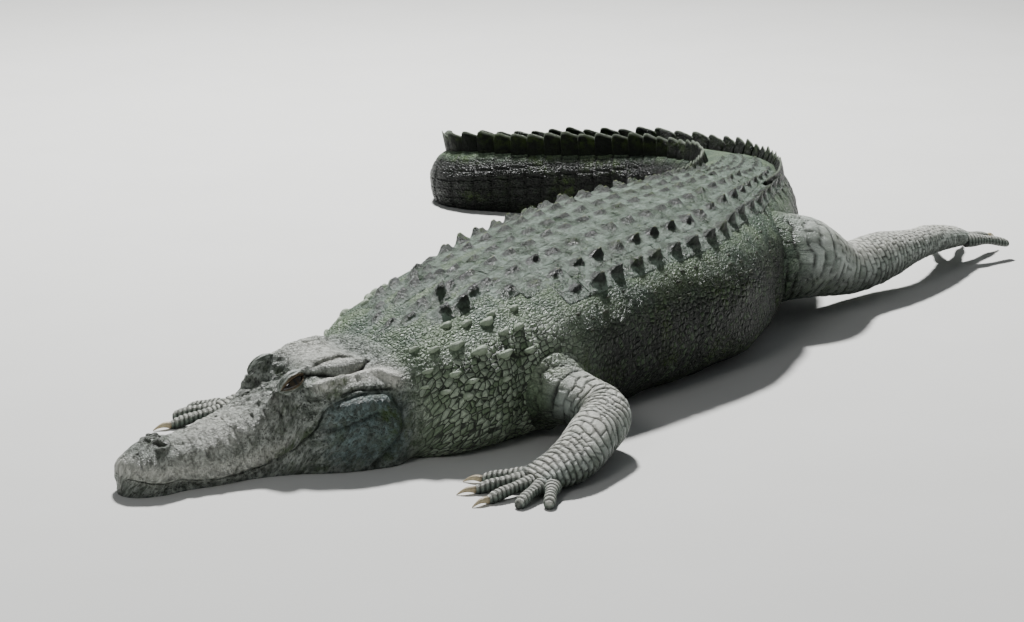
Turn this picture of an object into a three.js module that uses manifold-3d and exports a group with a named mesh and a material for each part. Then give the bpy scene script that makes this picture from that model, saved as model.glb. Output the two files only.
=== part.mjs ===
// American alligator at rest, life size. Millimetres, +Z up, the floor is z = 0.
// The head points to -Y, the animal's left side is +X, and the tail curls round to its right.
import * as THREE from "three";
import Module from "manifold-3d";

const wasm = await Module();
wasm.setup();

// Overall sizes.
const TOTAL_LENGTH = 3400;
const HEAD_END = 475;
const NECK_END = 660;
const TRUNK_MID = 1155;
const TRUNK_END = 1650;
const TAIL_JOINTS = [1650, 1960, 2240, 2520, 2800, 3080, TOTAL_LENGTH];
const GAP = 0.3;
const FLOOR_SINK = 16;

// Snout tip in the floor plane, and the turn of the whole body about it.
const SNOUT_TIP = [0, 0];
const BODY_TURN = 36.5;

// Direction of the backbone in degrees against the distance behind the snout tip.
const HEADING = [
  [0, 37.5],
  [430, 37.5],
  [600, 46],
  [800, 53],
  [1100, 54],
  [1300, 56],
  [1450, 62],
  [1600, 70],
  [1750, 77],
  [1900, 84],
  [2060, 92],
  [2230, 110],
  [2370, 140],
  [2480, 163],
  [2560, 167],
  [2820, 167],
  [2890, 140],
  [2970, 80],
  [3045, 25],
  [3400, 0],
];

// Body sections: distance, half width, height of the back, height of the widest line, squareness above and below.
const SECTIONS = [
  [475, 158, 178, 66, 2.3, 3.2],
  [520, 194, 204, 72, 2.2, 3.2],
  [600, 214, 230, 84, 2.1, 3.2],
  [700, 223, 252, 100, 2.1, 3.1],
  [800, 230, 266, 110, 2.1, 3.0],
  [1000, 250, 284, 118, 2.1, 3.1],
  [1200, 262, 290, 120, 2.1, 3.2],
  [1400, 216, 285, 125, 2.2, 3.0],
  [1550, 164, 275, 130, 2.3, 2.8],
  [1700, 145, 252, 122, 2.6, 2.6],
  [1900, 118, 230, 110, 2.8, 2.6],
  [2100, 104, 200, 100, 2.6, 2.6],
  [2300, 90, 172, 88, 2.2, 2.6],
  [2500, 76, 160, 80, 2.0, 2.6],
  [2700, 62, 146, 70, 1.9, 2.6],
  [2900, 50, 128, 60, 1.8, 2.6],
  [3100, 36, 86, 44, 1.8, 2.4],
  [3300, 20, 42, 24, 1.8, 2.2],
  [3400, 8, 16, 9, 2.0, 2.0],
];

// Scutes of the back: pitch along the body, and for each row out from the middle its place and keel height.
const SCUTE_PITCH = 55;
const SCUTE_ROWS = [
  { across: 0.085, keel: 7 },
  { across: 0.31, keel: 9 },
  { across: 0.52, keel: 11 },
  { across: 0.7, keel: 15 },
];
const SCUTE_SPREAD = [[475, 1], [1150, 1], [1350, 0.93], [1500, 0.97], [1650, 0.96]];

// Crest of the tail: pitch of its leaves, half distance between its two rows, and leaf height.
const CREST_PITCH = 40;
const CREST_SPREAD = [[1600, 100], [1900, 84], [2100, 66], [2300, 46], [2500, 32], [2700, 20], [2870, 3], [3400, 2]];
const CREST_HEIGHT = [[1600, 18], [1900, 27], [2200, 38], [2500, 45], [2800, 46], [2950, 44], [3200, 24], [3380, 5]];
const CREST_MERGE = [2780, 2880];

const lerp = (a, b, t) => a + (b - a) * t;
const smoothstep = (a, b, x) => {
  const t = Math.min(Math.max((x - a) / (b - a), 0), 1);
  return t * t * (3 - 2 * t);
};
const bump = (x, centre, reach) => {
  const d = (x - centre) / reach;
  return Math.exp(-d * d);
};

// Seeded random numbers, so that every build gives the same scutes.
let seed = 20731;
function random() {
  seed = (seed * 48271) % 2147483647;
  return seed / 2147483647;
}

// A smooth curve through [position, value] pairs that never overshoots them.
function curve(pairs) {
  const x = pairs.map((p) => p[0]);
  const y = pairs.map((p) => p[1]);
  const step = x.slice(1).map((v, i) => v - x[i]);
  const slope = step.map((h, i) => (y[i + 1] - y[i]) / h);
  const tangent = y.map((_, i) => {
    if (i === 0) return slope[0];
    if (i === y.length - 1) return slope[i - 1];
    if (slope[i - 1] * slope[i] <= 0) return 0;
    const a = 2 * step[i] + step[i - 1];
    const b = step[i] + 2 * step[i - 1];
    return (a + b) / (a / slope[i - 1] + b / slope[i]);
  });
  return (v) => {
    let i = 0;
    while (i < step.length - 1 && v > x[i + 1]) i += 1;
    const t = Math.min(Math.max((v - x[i]) / step[i], 0), 1);
    const rise = (3 - 2 * t) * t * t;
    const start = t * (1 - t) * (1 - t) * step[i] * tangent[i];
    const end = t * t * (t - 1) * step[i] * tangent[i + 1];
    return lerp(y[i], y[i + 1], rise) + start + end;
  };
}

// Backbone: its place and direction, summed in short steps from the snout tip.
const headingAt = curve(HEADING);
const STEP = 5;
const backbone = [[...SNOUT_TIP, THREE.MathUtils.degToRad(headingAt(0) + BODY_TURN)]];
for (let s = STEP; s <= TOTAL_LENGTH; s += STEP) {
  const [x, y] = backbone[backbone.length - 1];
  const middle = THREE.MathUtils.degToRad(headingAt(s - STEP / 2) + BODY_TURN);
  const here = THREE.MathUtils.degToRad(headingAt(s) + BODY_TURN);
  backbone.push([x + STEP * Math.cos(middle), y + STEP * Math.sin(middle), here]);
}

// Point of the floor frame at distance s along the body, side to the animal's left, height z.
function place(s, side, z) {
  const i = Math.min(Math.max(Math.floor(s / STEP), 0), backbone.length - 2);
  const t = s / STEP - i;
  const a = backbone[i];
  const b = backbone[i + 1];
  const turn = lerp(a[2], b[2], t);
  const x = lerp(a[0], b[0], t) + side * Math.sin(turn);
  const y = lerp(a[1], b[1], t) - side * Math.cos(turn);
  return [x, y, Math.max(z, 0)];
}

const widthAt = curve(SECTIONS.map((r) => [r[0], r[1]]));
const backAt = curve(SECTIONS.map((r) => [r[0], r[2]]));
const waistAt = curve(SECTIONS.map((r) => [r[0], r[3]]));
const upperAt = curve(SECTIONS.map((r) => [r[0], r[4]]));
const lowerAt = curve(SECTIONS.map((r) => [r[0], r[5]]));

const power = (v, n) => Math.sign(v) * Math.abs(v) ** (2 / n);

// Side, height and outward direction of the body's skin at angle t, 0 at the left flank and 90 on top.
function skin(s, t, grow) {
  const c = Math.cos(THREE.MathUtils.degToRad(t));
  const v = Math.sin(THREE.MathUtils.degToRad(t));
  const n = v >= 0 ? upperAt(s) : lowerAt(s);
  const waist = waistAt(s);
  const w = widthAt(s) + grow;
  const tall = v >= 0 ? backAt(s) - waist + grow : waist + FLOOR_SINK + grow;
  const side = w * power(c, n);
  const z = waist + tall * power(v, n);
  const out = [Math.sign(c) * Math.abs(c) ** (2 - 2 / n) / w, Math.sign(v) * Math.abs(v) ** (2 - 2 / n) / tall];
  const long = Math.hypot(...out) || 1;
  return { side, z, out: [out[0] / long, out[1] / long] };
}

// Angle at which the upper skin lies at a given share of the half width.
const angleAcross = (share, s) => THREE.MathUtils.radToDeg(Math.acos(Math.abs(share) ** (upperAt(s) / 2)));

// Raised points lean back by a share of their lift, but never past the ends of their own length of body.
const LEAN = 0.35;
const END_MARGIN = 1.5;
function leaned(s, lift, places) {
  const last = places[places.length - 1];
  return s === places[0] || s === last ? s : Math.min(s + lift * LEAN, last - END_MARGIN);
}

// Skin point lifted outwards.
function raised(s, t, grow, lift, places) {
  const p = skin(s, t, grow);
  return place(leaned(s, lift, places), p.side + p.out[0] * lift, p.z + p.out[1] * lift);
}

// Closed body from rings of equal length, with a fan over each end.
function loft(rings) {
  const count = rings[0].length;
  const points = rings.flat();
  const faces = [];
  for (let i = 0; i + 1 < rings.length; i += 1)
    for (let j = 0; j < count; j += 1) {
      const a = i * count + j;
      const b = i * count + ((j + 1) % count);
      faces.push([a, b, b + count], [a, b + count, a + count]);
    }
  for (const end of [0, rings.length - 1]) {
    const ring = rings[end];
    const middle = [0, 1, 2].map((k) => ring.reduce((sum, p) => sum + p[k], 0) / count);
    points.push(middle);
    for (let j = 0; j < count; j += 1) {
      const a = end * count + j;
      const b = end * count + ((j + 1) % count);
      faces.push(end === 0 ? [b, a, points.length - 1] : [a, b, points.length - 1]);
    }
  }
  return solid(points, faces);
}

// Solid from points and faces, turned to face outwards.
function solid(points, faces) {
  const volume = faces.reduce((sum, [a, b, c]) => {
    const [p, q, r] = [points[a], points[b], points[c]];
    return (
      sum +
      p[0] * (q[1] * r[2] - q[2] * r[1]) +
      p[1] * (q[2] * r[0] - q[0] * r[2]) +
      p[2] * (q[0] * r[1] - q[1] * r[0])
    );
  }, 0);
  const ordered = volume < 0 ? faces.map(([a, b, c]) => [a, c, b]) : faces;
  const mesh = new wasm.Mesh({
    numProp: 3,
    vertProperties: new Float32Array(points.flat()),
    triVerts: new Uint32Array(ordered.flat()),
  });
  return new wasm.Manifold(mesh);
}

// Distances of the rings of one length of body, its ends drawn in by half the gap.
function ringPlaces(from, to, pitch, phases) {
  const places = [from + GAP / 2];
  for (let row = Math.floor(from / pitch) - 1; row * pitch < to; row += 1)
    for (const phase of phases) {
      const s = (row + phase) * pitch;
      if (s > from + pitch * 0.08 && s < to - pitch * 0.08) places.push(s);
    }
  places.push(to - GAP / 2);
  return places;
}

// Keel of a scute against the phase of its row: low in front, highest near the rear edge.
const KEEL_PHASES = [0, 0.4, 0.78];
const scuteSpread = curve(SCUTE_SPREAD);
const keelShape = curve([[0, 0], [0.4, 0.5], [0.78, 1], [0.99, 0.05], [1, 0]]);
const keelVariety = Array.from({ length: 80 }, () => Array.from({ length: 9 }, () => 0.8 + 0.4 * random()));

// Rings of neck and trunk: keel and valley columns over the back, plain ones over flank and belly.
function trunkRings(from, to, grow) {
  const places = ringPlaces(from, to, SCUTE_PITCH, KEEL_PHASES);
  return places.map((s) => {
    const row = Math.floor(s / SCUTE_PITCH + 1e-6);
    const phase = s / SCUTE_PITCH - row;
    const spread = scuteSpread(s);
    const left = SCUTE_ROWS.flatMap(({ across, keel }, i) => {
      const next = i + 1 < SCUTE_ROWS.length ? SCUTE_ROWS[i + 1].across : across + 0.16;
      const rowKeel = keel * keelFade(s, i) * keelShape(phase);
      return [
        { t: angleAcross(across * spread, s), lift: rowKeel, row: i },
        { t: angleAcross(((across + next) / 2) * spread, s), lift: 0, row: i },
      ];
    });
    const flank = [22, -6, -36, -62].map((t) => ({ t, lift: 0, row: 0 }));
    const half = [...left, ...flank];
    const column = ({ t, lift, row: i }, mirrored) => {
      const varied = lift * keelVariety[row][mirrored ? 4 + i : i];
      return raised(s, mirrored ? 180 - t : t, grow, varied, places);
    };
    return [
      raised(s, 90, grow, 0, places),
      ...half.map((c) => column(c, false)),
      raised(s, -90, grow, 0, places),
      ...half.map((c) => column(c, true)).reverse(),
    ];
  });
}

// Keels grow behind the shoulders and the outer rows end at the hips, where the tail crest takes over.
function keelFade(s, row) {
  const front = smoothstep(600 + 40 * row, 720 + 60 * row, s);
  const rear = row === 3 ? 1 : 1 - 0.4 * smoothstep(1500, 1650, s);
  return Math.max(front * rear, row < 2 ? nuchal(s) : 0);
}

// The shield of large scutes on the nape.
const nuchal = (s) => 1.9 * Math.max(bump(s, 552, 22), bump(s, 604, 22));

// Rings of the tail: two rows of leaves that draw together into one.
const spreadAt = curve(CREST_SPREAD);
const crestAt = curve(CREST_HEIGHT);
const LEAF_PHASES = [0, 0.72];
function tailRings(from, to, grow) {
  const places = ringPlaces(from, to, CREST_PITCH, LEAF_PHASES);
  return places.map((s) => {
    const phase = s / CREST_PITCH - Math.floor(s / CREST_PITCH + 1e-6);
    const leaf = crestAt(s) * lerp(0.76, 1, Math.min(phase / 0.72, (1 - phase) / 0.28));
    const merge = smoothstep(...CREST_MERGE, s);
    const w = widthAt(s);
    const spread = Math.min(spreadAt(s), w * 0.9);
    const base = Math.min(spread + 13, w * 0.97);
    const half = [
      { side: Math.max(spread - 13, spread * 0.45), lift: leaf * merge * 0.97 },
      { side: spread, lift: leaf },
      { side: base, lift: 0 },
    ].map(({ side, lift }) => ({ t: angleAcross(side / w, s), lift }));
    const flank = [34, 4, -26, -58].map((t) => ({ t: Math.min(t, half[2].t - 6), lift: 0 }));
    const columns = [...half, ...flank];
    const column = ({ t, lift }, mirrored) => {
      const p = skin(s, mirrored ? 180 - t : t, grow);
      return place(leaned(s, lift, places), p.side * (1 + lift * 0.0008), p.z + lift);
    };
    return [
      column({ t: 90, lift: leaf * merge }, false),
      ...columns.map((c) => column(c, false)),
      raised(s, -90, grow, 0, places),
      ...columns.map((c) => column(c, true)).reverse(),
    ];
  });
}

// Head: half width at the lips, height of the line of the mouth, and height of the middle of the top.
const LIP = curve([
  [0, 8], [6, 25], [18, 38], [40, 48], [65, 53], [90, 51], [115, 55], [150, 62], [190, 64],
  [230, 70], [270, 80], [310, 95], [350, 109], [400, 120], [440, 127], [475, 134],
]);
const MOUTH = curve([
  [0, 34], [20, 28], [50, 21], [80, 22], [115, 16], [150, 13], [180, 14], [210, 18], [240, 25], [265, 34],
  [284, 49], [302, 65], [312, 78], [322, 100], [335, 112], [360, 121], [394, 124], [428, 122], [475, 116],
]);
const CROWN = curve([
  [0, 46], [5, 53], [22, 64], [48, 73], [66, 79], [100, 78], [150, 86], [190, 95], [230, 107],
  [262, 123], [285, 134], [310, 140], [330, 149], [360, 155], [420, 156], [450, 163], [475, 174],
]);
const CROWN_SQUARE = curve([[0, 2.2], [60, 2.4], [190, 2.5], [260, 2.3], [330, 2.1], [475, 2.2]]);
const JOWL = curve([[0, 0], [200, 2], [280, 10], [340, 24], [400, 30], [450, 26], [475, 20]]);

const NOSTRIL = { back: 66, side: 17, height: 9, reach: 14 };
const BROW = { back: 300, side: 45, height: 31, long: 36, wide: 20 };
const TABLE = { from: 330, to: 420, front: 52, rear: 76, height: 19, edge: 7 };
const EYE = { back: 300, side: 42, height: 139, radius: 16 };
const SLIT = { back: 299, side: 70, height: 152, size: [25, 22, 8], turn: 0.34 };
const HEAD_TIP = 12;

// Height added to the top of the head by nostrils, brows and the flat table of the skull,
// and by the head's tip to its left, which lifts its right side a little.
function headRelief(b, side) {
  const nose = NOSTRIL.height * bump(b, NOSTRIL.back, NOSTRIL.reach) * bump(Math.abs(side), NOSTRIL.side, 14);
  const brow = BROW.height * bump(b, BROW.back, BROW.long) * bump(Math.abs(side), BROW.side, BROW.wide);
  const half = lerp(TABLE.front, TABLE.rear, (b - TABLE.from) / (TABLE.to - TABLE.from));
  const across = 1 - smoothstep(half - TABLE.edge, half + TABLE.edge, Math.abs(side));
  const along = smoothstep(TABLE.from - 22, TABLE.from + 6, b) * (1 - smoothstep(TABLE.to - 4, TABLE.to + 16, b));
  const tip = HEAD_TIP * smoothstep(0, 60, -side) * smoothstep(180, 290, b) * (1 - smoothstep(430, 470, b));
  return nose + brow * (1 - 0.8 * along * across) + TABLE.height * across * along + tip;
}

// Brings a point of the head's rear onto the outline of the neck, so that the two meet.
function ontoNeck(b, side, z) {
  const share = smoothstep(435, HEAD_END, b);
  if (share === 0) return [side, z];
  const waist = waistAt(HEAD_END);
  const up = z >= waist;
  const n = up ? upperAt(HEAD_END) : lowerAt(HEAD_END);
  const tall = up ? backAt(HEAD_END) - waist : waist + FLOOR_SINK;
  const size = (Math.abs(side / widthAt(HEAD_END)) ** n + Math.abs((z - waist) / tall) ** n) ** (1 / n) || 1;
  return [lerp(side, side / size, share), lerp(z, waist + (z - waist) / size, share)];
}

// Upper half of the head at distance b and angle t, 0 and 180 on the lips.
function upperHead(b, t) {
  const c = Math.cos(THREE.MathUtils.degToRad(t));
  const v = Math.sin(THREE.MathUtils.degToRad(t));
  const n = CROWN_SQUARE(b);
  const mouth = MOUTH(b) + GAP / 2;
  const side = LIP(b) * power(c, n);
  const z = mouth + (CROWN(b) - mouth) * power(v, n) + headRelief(b, side) * v;
  return place(b, ...ontoNeck(b, side, z));
}

// Lower jaw at distance b, from the left lip (v = 0) round under the chin (v = 1) to the right lip (v = 2).
const JAW_INSET = 3;
function lowerHead(b, v) {
  const mirror = v > 1 ? -1 : 1;
  const u = v > 1 ? 2 - v : v;
  const mouth = MOUTH(b) - GAP / 2;
  const lip = Math.max(LIP(b) - JAW_INSET * (1 - smoothstep(390, 435, b)), 3);
  const drop = Math.min(u / 0.6, 1);
  const bulge = JOWL(b) * Math.sin(Math.PI * Math.min(drop * 0.85 + 0.02, 1));
  const foot = lip * 0.9 + JOWL(b) * 0.8;
  const wall = lerp(lip, foot, drop) + bulge;
  const side = u <= 0.6 ? wall : wall * (1 - (u - 0.6) / 0.4);
  const z = mouth * (1 - drop ** 1.3);
  return place(b, ...ontoNeck(b, mirror * side, z));
}

const HEAD_PLACES = [
  0.5, 3, 8, 16, 28, 42, 54, 64, 76, 90, 108, 130, 155, 180, 205, 228, 246, 260, 272, 283, 293, 303, 313, 323,
  332, 342, 356, 374, 392, 408, 418, 428, 440, 456, HEAD_END - GAP / 2,
];
const UPPER_ANGLES = Array.from({ length: 29 }, (_, i) => (180 * i) / 28);
const LOWER_SHARES = [0, 0.1, 0.22, 0.36, 0.48, 0.6, 0.8, 1, 1.2, 1.4, 1.52, 1.64, 1.78, 1.9, 2];

const upperLoft = loft(HEAD_PLACES.map((b) => UPPER_ANGLES.map((t) => upperHead(b, t))));
const lowerLoft = loft(HEAD_PLACES.map((b) => LOWER_SHARES.map((v) => lowerHead(b, v))));

// Ball of a given radius, stretched along the head, across it and upwards.
function ball(centre, radii, turn, detail) {
  const [back, side, z] = centre;
  const tilt = Math.cos(turn);
  const rise = Math.sin(turn);
  const rings = [];
  for (let i = 1; i < detail; i += 1) {
    const a = (Math.PI * i) / detail;
    const ring = [];
    for (let j = 0; j < 2 * detail; j += 1) {
      const p = (Math.PI * j) / detail;
      const along = -radii[0] * Math.cos(a);
      const up = radii[2] * Math.sin(a) * Math.sin(p);
      const db = along * tilt - up * rise;
      const dz = along * rise + up * tilt;
      ring.push(place(back + db, side + radii[1] * Math.sin(a) * Math.cos(p), z + dz));
    }
    rings.push(ring);
  }
  return loft(rings);
}

// Eyes, each in a socket with a slit between the lids; nostrils as pits on their mounds.
const eyes = [];
let headSolid = upperLoft;
for (const mirror of [1, -1]) {
  const lift = HEAD_TIP * smoothstep(0, 60, -mirror * EYE.side);
  const centre = [EYE.back, mirror * EYE.side, EYE.height + lift];
  const globe = ball(centre, [EYE.radius, EYE.radius, EYE.radius], 0, 7);
  const r = EYE.radius + GAP;
  const socket = ball(centre, [r, r, r], 0, 7);
  const slit = ball([SLIT.back, mirror * SLIT.side, SLIT.height + lift], SLIT.size, SLIT.turn, 6);
  headSolid = headSolid.subtract(socket).subtract(slit);
  eyes.push(globe);
  const pit = ball([NOSTRIL.back - 2, mirror * (NOSTRIL.side + 2), CROWN(NOSTRIL.back) + 9], [6, 3, 7], 0.3, 4);
  headSolid = headSolid.subtract(pit);
}

// Legs: each joint as [x, y, z] with the limb's half width and half height there.
const LEFT_ARM = {
  shoulder: { at: [235, 695, 92], size: [60, 56] },
  bend: { at: [390, 657, 81], size: [46, 44] },
  elbow: { at: [490, 636, 66], size: [43, 43] },
  forearm: { at: [518, 556, 50], size: [42, 41] },
  wrist: { at: [536, 468, 36], size: [38, 31] },
  knuckles: { at: [518, 402, 18], size: [43, 17] },
};
const RIGHT_ARM = {
  shoulder: { at: [40, 660, 105], size: [60, 58] },
  bend: { at: [-35, 610, 82], size: [50, 50] },
  elbow: { at: [-85, 560, 58], size: [40, 40] },
  forearm: { at: [-98, 500, 46], size: [38, 34] },
  wrist: { at: [-105, 440, 34], size: [33, 25] },
  knuckles: { at: [-135, 385, 20], size: [40, 15] },
};
const LEFT_HIND = {
  hip: { at: [205, 1440, 130], size: [72, 76] },
  thigh: { at: [308, 1540, 132], size: [72, 80] },
  knee: { at: [332, 1712, 76], size: [52, 52] },
  shank: { at: [347, 1835, 80], size: [48, 47] },
  ankle: { at: [358, 1990, 80], size: [36, 31] },
  knuckles: { at: [335, 2170, 54], size: [46, 20] },
};
const RIGHT_HIND = {
  hip: { at: [80, 1590, 120], size: [66, 72] },
  thigh: { at: [-40, 1560, 100], size: [60, 62] },
  knee: { at: [-150, 1560, 66], size: [48, 48] },
  shank: { at: [-212, 1618, 50], size: [46, 42] },
  ankle: { at: [-278, 1672, 34], size: [36, 27] },
  knuckles: { at: [-400, 1690, 18], size: [46, 15] },
};

const LIMB_SIDES = 10;
const SEGMENT_RINGS = 4;

// Rings along a limb between two of its joints, its ends drawn in by half the gap.
function limb(joints, first, last, rings) {
  const line = new THREE.CatmullRomCurve3(joints.map((j) => new THREE.Vector3(...j.at)), false, "centripetal");
  const steps = joints.map((_, i) => i / (joints.length - 1));
  const wide = curve(joints.map((j, i) => [steps[i], j.size[0]]));
  const tall = curve(joints.map((j, i) => [steps[i], j.size[1]]));
  const made = [];
  for (let i = 0; i <= rings; i += 1) {
    const u = lerp(steps[first], steps[last], i / rings);
    const centre = line.getPoint(u);
    const along = line.getTangent(u);
    if (i === 0) centre.addScaledVector(along, GAP / 2);
    if (i === rings) centre.addScaledVector(along, -GAP / 2);
    const side = new THREE.Vector3().crossVectors(along, new THREE.Vector3(0, 0, 1)).normalize();
    const up = new THREE.Vector3().crossVectors(side, along).normalize();
    const ring = [];
    for (let k = 0; k < LIMB_SIDES; k += 1) {
      const a = (2 * Math.PI * k) / LIMB_SIDES;
      const p = centre.clone();
      p.addScaledVector(side, wide(u) * Math.cos(a));
      p.addScaledVector(up, tall(u) * Math.sin(a));
      ring.push([p.x, p.y, Math.max(p.z, 0)]);
    }
    made.push(ring);
  }
  return loft(made);
}

// Digits: spread from the middle line in degrees, length, and whether they bear a claw.
const HAND_DIGITS = [
  { turn: 48, length: 62, claw: true },
  { turn: 22, length: 84, claw: true },
  { turn: 0, length: 92, claw: true },
  { turn: -22, length: 78, claw: false },
  { turn: -46, length: 56, claw: false },
];
const FOOT_DIGITS = [
  { turn: 30, length: 92, claw: true },
  { turn: 10, length: 118, claw: true },
  { turn: -10, length: 122, claw: true },
  { turn: -32, length: 100, claw: false },
];
const CLAW_LENGTH = 30;
const DIGIT_SIDES = 6;

// Tapered tube of upright rings from one point to another, arched upwards in its middle.
function digit(from, to, start, end, arch, rings) {
  const made = [];
  const side = new THREE.Vector3(to.y - from.y, from.x - to.x, 0).normalize();
  const up = new THREE.Vector3(0, 0, 1);
  for (let i = 0; i <= rings; i += 1) {
    const t = i / rings;
    const r = lerp(start, end, t) * (1 + 0.12 * Math.sin(3 * Math.PI * t));
    const centre = from.clone().lerp(to, t);
    centre.z += arch * Math.sin(Math.PI * t);
    const ring = [];
    for (let k = 0; k < DIGIT_SIDES; k += 1) {
      const a = (2 * Math.PI * k) / DIGIT_SIDES;
      const p = centre.clone().addScaledVector(side, r * Math.cos(a)).addScaledVector(up, r * Math.sin(a));
      ring.push([p.x, p.y, Math.max(p.z, 0)]);
    }
    made.push(ring);
  }
  return loft(made);
}

// Hand or foot with its digits, and the claws that stand off it.
function extremity(joints, digits, inner, spreadWidth) {
  const wrist = new THREE.Vector3(...joints[joints.length - 2].at);
  const end = new THREE.Vector3(...joints[joints.length - 1].at);
  const forward = new THREE.Vector3(end.x - wrist.x, end.y - wrist.y, 0).normalize();
  const across = new THREE.Vector3(-forward.y, forward.x, 0).multiplyScalar(inner);
  let palm = limb(joints, joints.length - 2, joints.length - 1, SEGMENT_RINGS);
  const claws = [];
  digits.forEach(({ turn, length, claw }, i) => {
    const share = 1 - (2 * i) / (digits.length - 1);
    const angle = THREE.MathUtils.degToRad(turn) * inner;
    const aim = forward.clone().applyAxisAngle(new THREE.Vector3(0, 0, 1), angle);
    const root = end.clone().addScaledVector(across, spreadWidth * share).addScaledVector(forward, -16);
    root.z = Math.max(end.z - 3, 15);
    const tip = root.clone().addScaledVector(aim, length + 16);
    tip.z = Math.max(end.z - 22, 6);
    palm = palm.add(digit(root, tip, 14, 8, 5, 4));
    if (!claw) return;
    const start = tip.clone().addScaledVector(aim, GAP);
    const point = start.clone().addScaledVector(aim, CLAW_LENGTH);
    point.z = tip.z - 5;
    claws.push(digit(start, point, 6.5, 1.2, 4, 3));
  });
  return { palm, claws };
}

// Trunk and neck, with a slightly grown copy that clears the legs' roots.
const neck = loft(trunkRings(HEAD_END, NECK_END, 0));
const trunkFront = loft(trunkRings(NECK_END, TRUNK_MID, 0));
const trunkRear = loft(trunkRings(TRUNK_MID, TRUNK_END, 0));
const cleared = loft(trunkRings(HEAD_END, NECK_END + 1, GAP))
  .add(loft(trunkRings(NECK_END, TRUNK_MID + 1, GAP)))
  .add(loft(trunkRings(TRUNK_MID, TRUNK_END + 2, GAP)))
  .add(loft(tailRings(TRUNK_END - 1, TAIL_JOINTS[1], GAP)));

// The largest piece of a solid, which drops slivers left inside the body by a cut.
const largest = (body) => body.decompose().sort((a, b) => b.volume() - a.volume())[0];

const group = new THREE.Group();
group.name = "american_alligator";
const COLOURS = {
  skin: new THREE.MeshStandardMaterial({ color: 0x5c6152, roughness: 0.7 }),
  pale: new THREE.MeshStandardMaterial({ color: 0x8f8c7c, roughness: 0.7 }),
  eye: new THREE.MeshStandardMaterial({ color: 0x8a7a3a, roughness: 0.15 }),
  claw: new THREE.MeshStandardMaterial({ color: 0xc9b896, roughness: 0.5 }),
};

// Adds a solid to the group as a named mesh.
function addNode(name, body, material) {
  const { vertProperties, triVerts } = body.getMesh();
  const geometry = new THREE.BufferGeometry();
  geometry.setAttribute("position", new THREE.BufferAttribute(new Float32Array(vertProperties), 3));
  geometry.setIndex(new THREE.BufferAttribute(new Uint32Array(triVerts), 1));
  const mesh = new THREE.Mesh(geometry, material);
  mesh.name = name;
  group.add(mesh);
}

addNode("head", largest(headSolid), COLOURS.pale);
addNode("lower_jaw", lowerLoft, COLOURS.pale);
addNode("eye_left", eyes[0], COLOURS.eye);
addNode("eye_right", eyes[1], COLOURS.eye);
addNode("neck", neck, COLOURS.skin);
addNode("trunk_front", trunkFront, COLOURS.skin);
addNode("trunk_rear", trunkRear, COLOURS.skin);
for (let i = 0; i + 1 < TAIL_JOINTS.length; i += 1)
  addNode(`tail_${i + 1}`, loft(tailRings(TAIL_JOINTS[i], TAIL_JOINTS[i + 1], 0)), COLOURS.skin);

const LEGS = [
  { side: "left", joints: LEFT_ARM, names: ["upper_arm", "forearm", "hand"], digits: HAND_DIGITS, inner: -1 },
  { side: "right", joints: RIGHT_ARM, names: ["upper_arm", "forearm", "hand"], digits: HAND_DIGITS, inner: 1 },
  { side: "left", joints: LEFT_HIND, names: ["thigh", "shank", "foot"], digits: FOOT_DIGITS, inner: 1 },
  { side: "right", joints: RIGHT_HIND, names: ["thigh", "shank", "foot"], digits: FOOT_DIGITS, inner: 1 },
];
for (const { side, joints, names, digits, inner } of LEGS) {
  const chain = Object.values(joints);
  const upper = limb(chain, 0, 2, 2 * SEGMENT_RINGS).subtract(cleared);
  addNode(`${names[0]}_${side}`, largest(upper), COLOURS.pale);
  addNode(`${names[1]}_${side}`, limb(chain, 2, 4, 2 * SEGMENT_RINGS).subtract(cleared), COLOURS.pale);
  const { palm, claws } = extremity(chain, digits, inner, digits === HAND_DIGITS ? 30 : 34);
  addNode(`${names[2]}_${side}`, palm, COLOURS.pale);
  claws.forEach((claw, i) => addNode(`claw_${names[2]}_${side}_${i + 1}`, claw, COLOURS.claw));
}

// The origin is the middle of the model's own box, on the floor.
const box = new THREE.Box3().setFromObject(group);
const middle = box.getCenter(new THREE.Vector3());
for (const mesh of group.children) mesh.geometry.translate(-middle.x, -middle.y, 0);

export default group;
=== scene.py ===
# American alligator at rest: the looks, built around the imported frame.
import math

import bpy
import numpy as np
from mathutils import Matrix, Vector


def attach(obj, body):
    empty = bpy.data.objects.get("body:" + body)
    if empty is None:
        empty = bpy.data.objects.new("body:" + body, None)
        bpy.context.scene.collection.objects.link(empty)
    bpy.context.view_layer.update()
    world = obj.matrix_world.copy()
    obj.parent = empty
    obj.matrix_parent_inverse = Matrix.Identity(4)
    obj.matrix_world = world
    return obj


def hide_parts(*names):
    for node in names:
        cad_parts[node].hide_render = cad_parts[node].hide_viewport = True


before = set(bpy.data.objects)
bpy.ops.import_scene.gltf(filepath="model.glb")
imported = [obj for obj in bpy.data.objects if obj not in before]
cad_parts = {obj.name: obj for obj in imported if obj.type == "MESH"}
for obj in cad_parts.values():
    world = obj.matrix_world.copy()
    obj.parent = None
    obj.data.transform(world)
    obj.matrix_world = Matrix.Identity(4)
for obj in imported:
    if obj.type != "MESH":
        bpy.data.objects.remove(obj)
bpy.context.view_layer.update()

# The shape is worked out in millimetres from the snout tip, and moved into the frame at the end.
MM = 0.001
SNOUT_IN_FRAME = np.array([177.07, -1174.07, 0.0])

# Overall sizes along the body.
TOTAL_LENGTH = 3400
HEAD_END = 475
TRUNK_END = 1650
FLOOR_SINK = 16
BODY_TURN = 36.5
STEP = 5

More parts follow.
